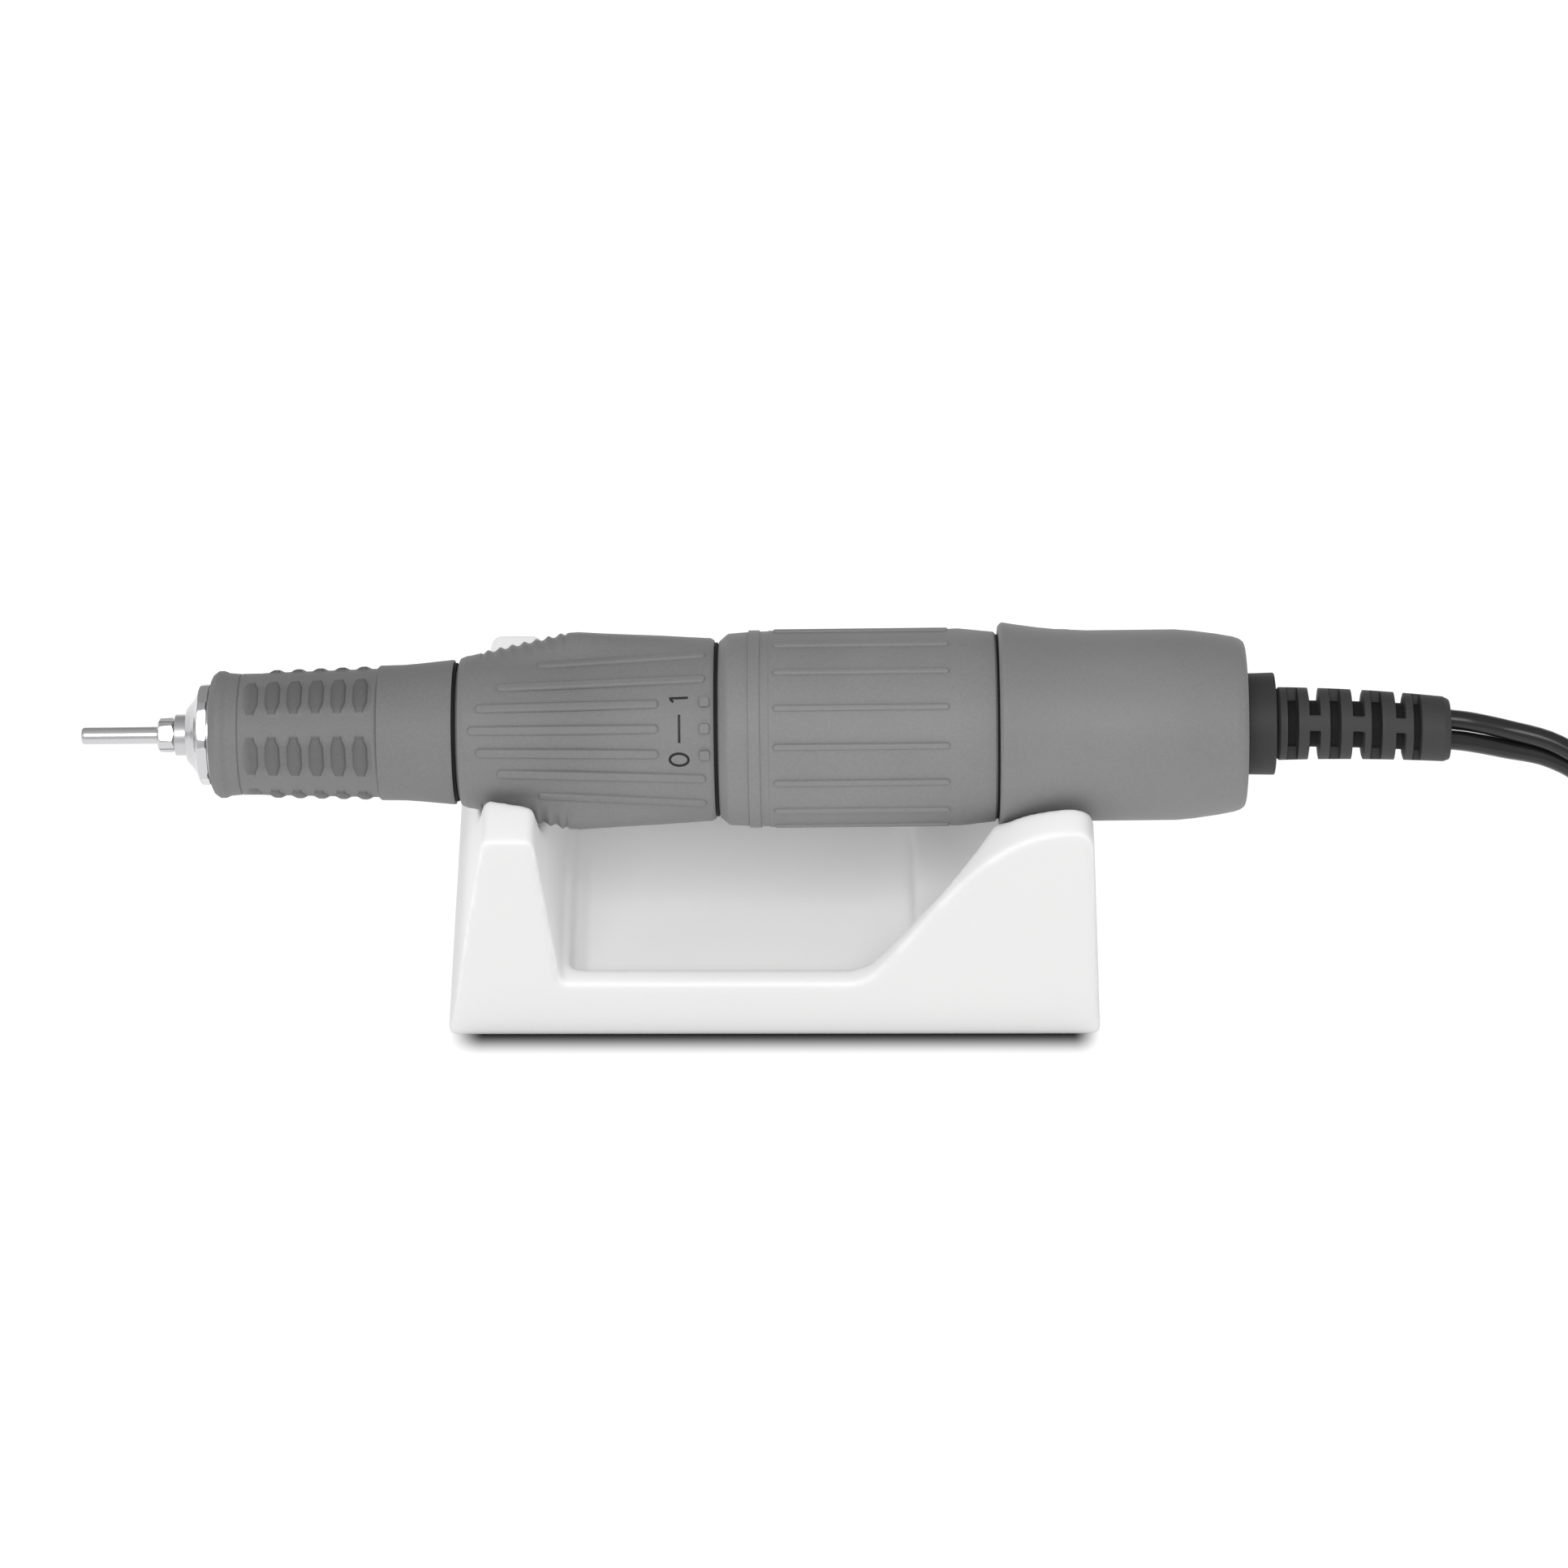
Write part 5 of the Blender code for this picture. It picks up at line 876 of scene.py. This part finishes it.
# %% Ribs and marks on the ring
def cone_radius(station):
    return float(np.interp(station, cone_at, cone_r))


ribs = []
for half_turn in (0, 180):
    for turns, low, high in ((0, 0.05, 0.79), (1, 0.08, 0.79), (2, 0.16, 0.97), (3.27, 0.315, 0.97)):
        a, b = RING_S + RING_L * low, RING_S + RING_L * high
        slope = math.atan2(cone_radius(b) - cone_radius(a), b - a)
        for sign in (1, -1) if turns else (1,):
            at = half_turn + sign * turns * 16.5
            radius = (cone_radius(a) + cone_radius(b)) / 2 - 0.14
            ribs.append(bars(RING, 1, 0, radius, a, b - a, 1.35, 0.62, at, slope, 20, 0.72))
    ribs.append(bars(RING, 3, 16.5, 12.12, 84.2, 1.4, 1.4, 0.9, half_turn - 16.5, 0.06, 20, 0.8, squared=0.45))
piece("ring_ribs", together("ring_ribs", ribs), RING, "release_ring", (), 60)

# %% [markdown]
# Two digits and a dash between them show the ring's two ends of travel. On the real ring such marks are pad-printed
# in black. A print is a flat stroke with a little thickness, bent onto the cone, so each stroke is drawn as points
# in the flat and wrapped round.


# %% Marks printed on the ring
STROKE_W = 0.33


def stroke(points, turn, closed=False):
    """A printed stroke through flat points (along, round) in millimetres, wrapped on the ring at a turn."""
    flat, verts = [Vector(p) for p in points], []
    profile = ((-1, -0.06), (-1, 0.03), (1, 0.03), (1, -0.06))
    for point, way in zip(flat, ways(flat, closed)):
        normal = way.orthogonal() * STROKE_W / 2
        for side, lift in profile:
            station, round_ = point + normal * side
            radius = cone_radius(station) + lift
            angle = math.radians(turn) + round_ / radius
            verts.append(AXIS @ (Vector((radius * math.cos(angle), radius * math.sin(angle), station)) * MM))
    return mesh_of("stroke", verts, ring_faces(len(flat), len(profile), closed))


oval = [(81.45 + 1.25 * math.cos(TURN * i / 32), 0.85 * math.sin(TURN * i / 32)) for i in range(32)]
one = [(80.75, 0.55), (80.35, 0.16), (80.2, 0.0), (81.0, 0.0), (81.8, 0.0), (82.7, 0.0)]
dash = [(81.5, -1.9 + 0.38 * i) for i in range(11)]
marks = [stroke(oval, 20, closed=True), stroke(one, -20), stroke(dash, 0)]
piece("ring_marks", together("ring_marks", marks), PAINT, "release_ring", (), 60)

# %% [markdown]
# ## Motor housing and its beads
# The shell over the motor is smooth but for sixteen lengthwise beads that keep it from rolling and give grip. In
# front it has a narrow raised band, and behind it dives under the rear cap.

# %% Housing shell and beads
shell = [
    (86.56, 8.6), (86.56, 11.5, 0.3), (86.75, 11.95, 0.3), (87.9, 12.95, 0.7), (90.5, 13.14), (90.66, 13.14),
    (90.7, 13.38, 0.06), (92.2, 13.38, 0.06), (92.25, 13.2), (93.4, 13.24), (93.45, 13.31), (117.6, 13.31, 1.5),
    (119.0, 13.36, 1.0), (123.8, 12.85, 0.15), (124.06, 12.5), (124.06, 11.6), (88.01, 11.6), (88.01, 8.6),
]
shell_mesh = turned("housing_shell", dense(filleted(shell), 0.7), 192)
piece("housing_shell", shell_mesh, SHELL, "handpiece", ("motor_housing",), 30)
beads = bars(SHELL, 16, 22.5, 13.2, 94.0, 23.65, 0.95, 0.6, 11.25, 0.0, 16, 0.75)
piece("housing_beads", beads, SHELL, "handpiece", (), 60)

# %% Rear cap and collar
flare = [(0, 0.965), (0.015, 1.0), (0.065, 0.98), (0.165, 0.946), (0.23, 0.93), (0.36, 0.914), (0.72, 0.914)]
flare += [(0.79, 0.9), (0.89, 0.868), (0.955, 0.84), (0.98, 0.82), (1.0, 0.785)]
TAIL_S, TAIL_L, TAIL_R = 124.36, 33.3, 14.13
tail = [(TAIL_S, 12.2)]
for share, r in flare:
    tail.append((TAIL_S + TAIL_L * share, TAIL_R * r, 0.5 if share < 0.02 else 2.5 if share < 0.95 else 0.7))
tail += [(157.66, 5.3), (155.5, 5.3), (155.5, 9.0), (148, 12.2)]
tail_mesh = turned("flared_cap", dense(filleted(tail), 1.2), 192)
piece("flared_cap", tail_mesh, TAIL, "handpiece", ("rear_cap",))
grommet = [
    (152.96, 2.8), (152.96, 6.5, 0.2), (155.2, 6.5), (155.25, 5.15), (157.96, 5.15), (157.96, 6.85, 0.1),
    (161.55, 6.93, 0.12), (161.66, 6.85, 0.05), (161.66, 2.8),
]
grommet_mesh = turned("cord_grommet", filleted(grommet), 128)
piece("cord_grommet", grommet_mesh, COLLAR, "handpiece", ("cord_collar",))

# %% [markdown]
# Where two shells meet, the seam is dark. A thin black ring with rounded edges sits in each seam, below the
# shells on either side, and its black is painted shade that darkens the seam. A thin black seal there would keep
# grinding dust out of the bearings and the motor, so the seam is guessed to hold one: a plain ring with rounded edges
# that stays below the shells on either side.

# %% Black rings of painted shade in the seams
seam_shades = []
for low, high, inner, outer in ((50.84, 51.23, 8.25, 9.4), (86.14, 86.53, 8.7, 11.8), (124.09, 124.33, 11.65, 12.5)):
    seam_shades.append(turned("seam_shade_ring", filleted([(low, inner), (low, outer, 0.1), (high, outer, 0.1), (high, inner)]), 128))
piece("seam_shade_rings", together("seam_shade_rings", seam_shades), BLACK_SHADE, "handpiece", ())

# %% [markdown]
# ## Strain-relief boot
# The boot keeps the cord from kinking where it leaves. Rings hang together by narrow bridges, first on the sides,
# then on the faces, so it can bend both ways. Each window is a stretch of length and a stretch of angle where the
# radius drops to the core, with eased edges. The whole boot then sags a little along its length, as the cord does.

# %% Boot with its windows
BOOT_S, BOOT_L = 161.96, 23.5
CORE_R, WINDOW_EASE, SAG = 3.05, 0.09, 1.45
windows = (
    (0.059, 0.115), (0.185, 0.24), (0.3025, 0.359), (0.4336, 0.492), (0.542, 0.597), (0.6826, 0.729), (0.785, 0.823),
)


def windowed(station, radius, angle):
    """Windows cut down to the core, in turn on the sides and the faces."""
    cut = np.zeros_like(radius)
    for i, (low, high) in enumerate(windows):
        a, b = BOOT_S + BOOT_L * low, BOOT_S + BOOT_L * high
        opened, shut = (soft_step(at - WINDOW_EASE, at + WINDOW_EASE, station) for at in (a, b))
        bridge = math.radians(14 if i % 2 else 9)
        off = np.abs(from_turn(angle, TURN / 4 * (1 + i % 2), 2))
        cut = np.maximum(cut, opened * (1 - shut) * soft_step(bridge - 0.03, bridge + 0.03, off))
    return np.where(radius > 3.6, radius - cut * (radius - CORE_R), radius)


def sagging(mesh):
    """Lower the points of a mesh on the axis by their share of the boot's bend."""
    down = AXIS.to_3x3().inverted() @ Vector((0, 0, -1))
    for vert in mesh.vertices:
        share = max((vert.co.z / MM - BOOT_S) / BOOT_L, 0)
        vert.co += down * SAG * MM * share**2
    mesh.transform(AXIS)
    return mesh


boot_outline = [
    (161.96, 2.8), (161.96, 4.6, 0.15), (162.3, 4.95, 0.2), (173.7, 4.7, 1), (184.6, 4.41, 0.35), (185.46, 4.05, 0.3),
    (185.46, 2.9, 0.25), (184.2, 2.8),
]
boot_mesh = turned("windowed_boot", dense(filleted(boot_outline), 0.14), 200, windowed, None)
piece("windowed_boot", sagging(boot_mesh), RUBBER, "handpiece", ("strain_relief_boot",), 40)
# A dark core shows in the boot's windows. It stands for the cord inside, and its near-black colour is painted shade
# that makes the windows look deep.
core_shade_outline = filleted([(162.3, 2.86), (162.3, 3.14, 0.1), (184.3, 3.14, 0.1), (184.3, 2.86)])
core_shade_mesh = turned("boot_core_shade", dense(core_shade_outline, 0.8), 96, None, None)
piece("boot_core_shade", sagging(core_shade_mesh), BLACK_SHADE, "handpiece", ())

# %% [markdown]
# ## Cradle
# A thick-walled white moulding: a horn in front, a tray for burs, a hill behind. Its side outline is drawn once
# and given a depth that shrinks upwards, because a moulding needs that draft to leave its mould. Saddles and tray
# are cut out, and so is the lower place behind the hill's front wall. The solid is plainer here: it is filled up to
# the rest, its hill has another curve and its right hollow a higher roof. Every edge of such a moulding is rounded.
# Voxels with a little smoothing round all edges at once, also where three cuts meet, which no bevel does so evenly.

# %% Side outline of the cradle
def corner_arc(before, corner, after, radius, steps=10):
    """Points of an arc that rounds one corner."""
    return filleted([before, (*corner, radius), after], steps)[1:-1]


FRONT_X, CRADLE_L, HALF, TOP, RIM = -43.8, 89.9, 22.0, 37.9, 9.8
DRAFT = math.tan(math.radians(3.1))


def side_outline():
    """Foot, rear end, hill, rim and horn, in millimetres."""
    right = FRONT_X + CRADLE_L
    horn = (FRONT_X + 36.5 * math.tan(math.radians(9.5)), 36.5)
    horn_in = (horn[0] + 6.8, 36.5)
    rim = (horn_in[0] + 26.7 * math.tan(math.radians(6.3)), RIM)
    top = (right - TOP * math.tan(math.radians(3.2)), TOP)
    foot, crest = FRONT_X + CRADLE_L * 0.62, top[0] - 3.0
    base = (FRONT_X, 0), (right, 0)
    outline = [*corner_arc(horn, *base, 1.2), *corner_arc(*base, top, 1.2)]
    outline += corner_arc(base[1], top, (foot, TOP), 3.0)
    across, steps = crest - foot, 28
    xs, zs = (foot, foot + across * 0.2, crest - across * 0.52, crest), (RIM, RIM, TOP, TOP)
    for t in (i / steps for i in range(steps, -1, -1)):
        parts = ((1 - t) ** 3, 3 * t * (1 - t) ** 2, 3 * t**2 * (1 - t), t**3)
        outline.append((sum(a * b for a, b in zip(parts, xs)), sum(a * b for a, b in zip(parts, zs))))
    outline += corner_arc(outline[-1], rim, horn_in, 0.6, 4)
    return [*outline, *corner_arc(rim, horn_in, horn, 1.1), *corner_arc(horn_in, horn, (FRONT_X, 0), 1.1)]


# %% Drafted prism and cutters
CUTTER_MERGE = 0.001


def drafted(name, outline, half=HALF):
    """A side outline given a depth either side, less deep higher up, as an object."""
    count = len(outline)
    verts = [Vector((x, way * (half - DRAFT * z), z)) * MM for way in (-1, 1) for x, z in outline]
    faces = [tuple(range(count)), tuple(reversed(range(count, 2 * count)))]
    faces += [(i, i + count, (i + 1) % count + count, (i + 1) % count) for i in range(count)]
    return worked(name, verts, faces)


def worked(name, verts, faces):
    """A closed mesh with outward faces, as an object to cut with or to cut."""
    mesh = mesh_of(name, verts, faces)
    cleaned(mesh, CUTTER_MERGE)
    return linked(name, mesh)


def applied(obj):
    """The object's mesh with its modifiers in it; the object goes."""
    mesh = bpy.data.meshes.new_from_object(obj.evaluated_get(bpy.context.evaluated_depsgraph_get()))
    bpy.data.objects.remove(obj)
    return mesh


def cut_by(body, cutters):
    """Cut objects out of a body and drop them."""
    for cutter in cutters:
        modifier = body.modifiers.new(cutter.name, "BOOLEAN")
        modifier.operation, modifier.solver, modifier.object = "DIFFERENCE", "EXACT", cutter
    mesh = applied(body)
    for cutter in cutters:
        bpy.data.objects.remove(cutter)
    return mesh


# %% Cut, round and smooth the cradle
def tray_cutter():
    """Pocket that is square by the horn and round by the hill."""
    left, right, half, sharp, wide = -26.9, 20.6, 18.0, 1.8, 9.0
    flat = filleted([(left, -half, sharp), (right, -half, wide), (right, half, wide), (left, half, sharp)], 12)
    verts, count = [], len(flat)
    levels = ((3, 1.9), (3.7, 1.6), (4.7, 0.3), (10.1, 0), (45, 0))
    for z, slope in levels:
        verts += [Vector((x + (slope if x < left + sharp else 0), y, z)) * MM for x, y in flat]
    last = (len(levels) - 1) * count
    faces = [tuple(range(count)), tuple(reversed(range(last, last + count)))]
    for low in range(0, last, count):
        pairs = [(low + i, low + (i + 1) % count) for i in range(count)]
        faces += [(a, a + count, b + count, b) for a, b in pairs]
    return worked("tray_cutter", verts, faces)


def behind_wall():
    """The lower place behind the front wall of the hill, which narrows towards the rest."""
    places = (
        (12.0, 18.0, RIM), (24.0, 18.0, RIM), (26.5, 17.0, 10.3), (28.5, 15.7, 12.0), (30.2, 14.0, 15.5),
        (31.8, 12.0, 20.0), (33.0, 10.0, 24.0),
    )
    above, verts = 60, []
    for x, half, low in places:
        verts += [Vector((x, y, z)) * MM for y, z in ((-half, low), (half, low), (half, above), (-half, above))]
    last = len(verts) - 4
    faces = [(0, 1, 2, 3), (last + 3, last + 2, last + 1, last)]
    for i in range(0, last, 4):
        faces += [(i + a, i + b, i + 4 + b, i + 4 + a) for a, b in ((0, 1), (1, 2), (2, 3), (3, 0))]
    return worked("behind_wall", verts, faces)


def trough(name, places):
    """A round cutter along the handpiece's axis."""
    outline = [Vector(p) for p in ((places[0][0], 0), *places, (places[-1][0], 0))]
    mesh = turned(name, outline, 144)
    cleaned(mesh, CUTTER_MERGE)
    return linked(name, mesh)


saddle_at = [RING_S + RING_L * share for share in (-0.2, 0.06, 0.435, 0.6)]
saddle = [(s, cone_radius(max(s, RING_S)) + float(np.interp(s, wing_at, wing_r)) + 0.7) for s in saddle_at]
hollows = (
    ((0.031, 0), (0.148, 0), (0.135, 0.58), (0.072, 0.58)),
    ((0.743, 0), (0.969, 0), (0.954, 0.549), (0.858, 0.549), (0.845, 0.2), (0.743, 0.2)),
)
rest = [(86.5, 14.1), (124.06, 14.1), (124.06, 14.53), (185, 14.53)]
cutters = [tray_cutter(), trough("saddle", saddle), trough("rest", rest)]
for i, shares in enumerate(hollows):
    places = [(FRONT_X + CRADLE_L * x, TOP * z if z else -1.0) for x, z in shares]
    cutters.append(drafted(f"hollow_{i}", places, HALF - 2.8 - DRAFT * TOP))
cutters.append(behind_wall())
body = drafted("cradle_body", side_outline())
cradle_mesh = cut_by(body, cutters)
print("cradle cut, faces", len(cradle_mesh.polygons))


# %% Voxels, then smoothing
def softened(name, mesh, voxel, rounds, upper_rounds, floor):
    """The mesh as voxels, its edges rounded by smoothing, and more so above a height."""
    made = linked(name, mesh)
    remesh = made.modifiers.new("voxels", "REMESH")
    remesh.mode, remesh.voxel_size = "VOXEL", voxel * MM
    made = linked(name, applied(made))
    upper = made.vertex_groups.new(name="upper")
    for vert in made.data.vertices:
        upper.add([vert.index], min(max((vert.co.z / MM - floor) / 2, 0), 1), "REPLACE")
    for group, count in (("", rounds), ("upper", upper_rounds)):
        smooth = made.modifiers.new("smooth", "SMOOTH")
        smooth.factor, smooth.iterations, smooth.vertex_group = 0.5, count, group
    return applied(made)


soft_cradle = softened("soft_cradle", cradle_mesh, 0.45, 6, 14, 2.5)
for vert in soft_cradle.vertices:
    vert.co.z = max(vert.co.z, 0.0)
piece("soft_cradle", soft_cradle, CRADLE, "cradle", ("cradle",), 80)

# %% [markdown]
# ## Plug and tie at the far end
# The cord ends in a round plug with five pins, as such handpieces use to join their control box. It lies on the
# stored hank, which a strap of woven tape holds. Both are guesses that the photograph doesn't show, so they are
# plain: a ribbed rubber neck, a fluted grip, a metal can with its pins, and the strap with its end folded over.

# %% Plug
PLUG_AXIS = Matrix.Translation(Vector((172.5, 17.12, 25.8)) * MM) @ Matrix.Rotation(-TURN / 4, 4, "Y")
neck = [(0.3, 2.85), (0.3, 3.2, 0.2)]
for i in range(5):
    low, out = 0.9 + i * 1.35, i * 0.33
    neck += [(low, 3.45 + out, 0.2), (low + 0.75, 3.55 + out, 0.2), (low + 0.85, 3.15 + out), (low + 1.2, 3.2 + out)]
neck += [(8.3, 4.75, 0.2), (8.3, 2.85)]
neck_mesh = turned("plug_neck", filleted(neck), 96, None, PLUG_AXIS)
plug_neck = piece("plug_neck", neck_mesh, RUBBER, "cradle", ("plug_boot",))


def fluted(station, radius, angle):
    """Shallow flutes round the grip."""
    wave = np.abs(np.cos(angle * 9)) ** 2.5
    inside = soft_step(10.2, 11.2, station) * (1 - soft_step(22.6, 23.6, station)) * (radius > 5.6)
    return radius - 0.38 * (1 - wave) * inside


grip = [(8.6, 2.9), (8.6, 5.4, 0.4), (9.4, 6.1, 0.5), (24.0, 6.2, 0.4), (24.6, 5.9, 0.2), (24.6, 2.9)]
grip_mesh = turned("plug_grip", dense(filleted(grip), 0.5), 216, fluted, PLUG_AXIS)
plug_grip = piece("plug_grip", grip_mesh, PLUG, "cradle", ("plug_body",), 50)
can = [(24.9, 4.8), (24.9, 5.4, 0.15), (25.6, 5.6, 0.1), (30.9, 5.6, 0.1), (31.1, 5.45), (31.9, 5.4, 0.15), (31.9, 4.8)]
can_mesh = turned("plug_can", filleted(can), 128, None, PLUG_AXIS)
plug_can = piece("plug_can", can_mesh, STEEL, "cradle", ("plug_shell",))
disc_outline = filleted([(24.9, 0.01), (24.9, 4.5, 0.2), (27.9, 4.5, 0.3), (27.9, 0.01)])
disc = turned("plug_disc", disc_outline, 96, None, PLUG_AXIS)
pins = bars(BRASS, 5, 60, 2.8, 26.9, 4.0, 1.15, 0.575, 0, 0, 16, 1.0, PLUG_AXIS)
plug_disc = piece("plug_disc", disc, NYLON, "cradle", ("plug_insert",))
plug_pins = piece("plug_pins", pins, BRASS, "cradle", (), 60)


# %% Woven tape
def woven(name, grey, threads, along):
    """Tape of so many threads per metre: over and under, with a fuzzy sheen."""
    made, nodes, shader = new_finish(name)
    x, y, z = xyz(nodes, here(nodes))
    warp, weft = (x * threads * math.pi).sin(), ((y + z) * threads * along * math.pi).sin()
    weave = warp * weft * 0.5 + 0.5
    fuzz = noise(nodes, here(nodes), 3800, 3.0, 0.7)
    colours = tint(nodes, weave * 0.7 + fuzz * 0.3, (grey * 0.5,) * 3, (grey * 1.6,) * 3)
    surface(nodes, shader, colours, fuzz * 0.15 + 0.78, weave + fuzz * 0.4, 0.12 * MM)
    return made


TAPE = woven("woven_tape", 0.035, 1500, 0.8)
STRAP_X = 184


def band(name, loop, closed, half_width, low, high):
    """A flat band along a loop of (y, z) points in millimetres, between two distances outside it."""
    points = [Vector(p) for p in loop]
    count, verts = len(points), []
    profile = ((-1, low), (-1, high - 0.2), (-0.97, high), (0.97, high), (1, high - 0.2), (1, low))
    for i, (point, way) in enumerate(zip(points, ways(points, closed))):
        out = Vector((way.y, -way.x))
        narrow = 1.0 if closed else min(1.0, math.sqrt(min(i + 0.3, count - 0.7 - i) / 4))
        for x, distance in profile:
            y, z = point + out * distance
            verts.append(Vector((STRAP_X + x * half_width * narrow, y, z)) * MM)
    return mesh_of(name, verts, ring_faces(count, len(profile), closed))


corners = [(-23.575, 1.1), (23.575, 1.1), (23.575, 19.9), (20.475, 29.15), (-17.375, 26.1), (-23.575, 19.9)]
loop = dense(filleted([(*c, 1.6) for c in corners], 5), 1.2)
top = [Vector((18.5, 29.0)).lerp(Vector((-9.0, 26.78)), i / 24) for i in range(25)]
straps = [band("strap", loop, True, 6.0, 0.05, 0.75), band("strap_end", top, False, 5.8, 0.78, 1.5)]
woven_strap = piece("woven_strap", together("woven_strap", straps), TAPE, "cradle", ("cord_tie",), 50)

# %% [markdown]
# ## Parts inside
# Nobody sees them in the photograph, but whoever takes the shells off does. The balls of the four bearings and the
# chuck's coil spring are small repeated shapes, made by the tree of bars and by the cord's own tube maker. All the
# other inner solids keep their shape and get the finish of what they are made of.

# %% Balls and spring
BALL_SETS = (
    ("front", 9, 4.575, 23.15, 1.15), ("rear", 9, 4.575, 61.4, 1.15), ("motor_front", 8, 4.55, 90.3, 1.6),
    ("motor_rear", 8, 4.55, 132.1, 1.6),
)
for name, count, radius, station, size in BALL_SETS:
    balls = bars(STEEL, count, 360 / count, radius, station - size / 2, size, size, size / 2, 0, 0, 16)
    piece(f"{name}_balls_set", balls, STEEL, f"{name}_balls", (f"{name}_bearing_balls",), 60)
coils, steps = 8, 22
helix = []
for i in range(coils * steps + 1):
    angle, share = TURN * i / steps, i / (coils * steps)
    helix.append(Vector((2.04 * math.cos(angle), 2.04 * math.sin(angle), 47.15 + 8.5 * share)) * MM)
spring = tube_mesh("coil_spring", strand_rings(helix, 0.26 * MM, (0,), 0.0, 8))
spring.transform(AXIS)
piece("coil_spring", spring, TURNED, "spindle", ("chuck_spring",))

# %% Finishes of the solids that stay
BY_SLOT = {
    "grip_plastic": GRIP, "ring_plastic": RING, "housing_plastic": SHELL, "rear_plastic": TAIL, "boot_rubber": RUBBER,
    "cord_vinyl": VINYL, "cradle_plastic": CRADLE, "polished_steel": STEEL, "turned_steel": TURNED,
    "anodised_aluminium": ALLOY, "brass": BRASS, "copper": COPPER, "magnet_ferrite": FERRITE, "carbon": CARBON,
    "moulded_nylon": NYLON, "wire_red": RED, "tie_fabric": TAPE, "plug_plastic": PLUG,
}
for name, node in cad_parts.items():
    for index, old in enumerate(node.data.materials):
        node.data.materials[index] = BY_SLOT[old.name.split(".")[0]]
print("inner solids finished", len(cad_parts))
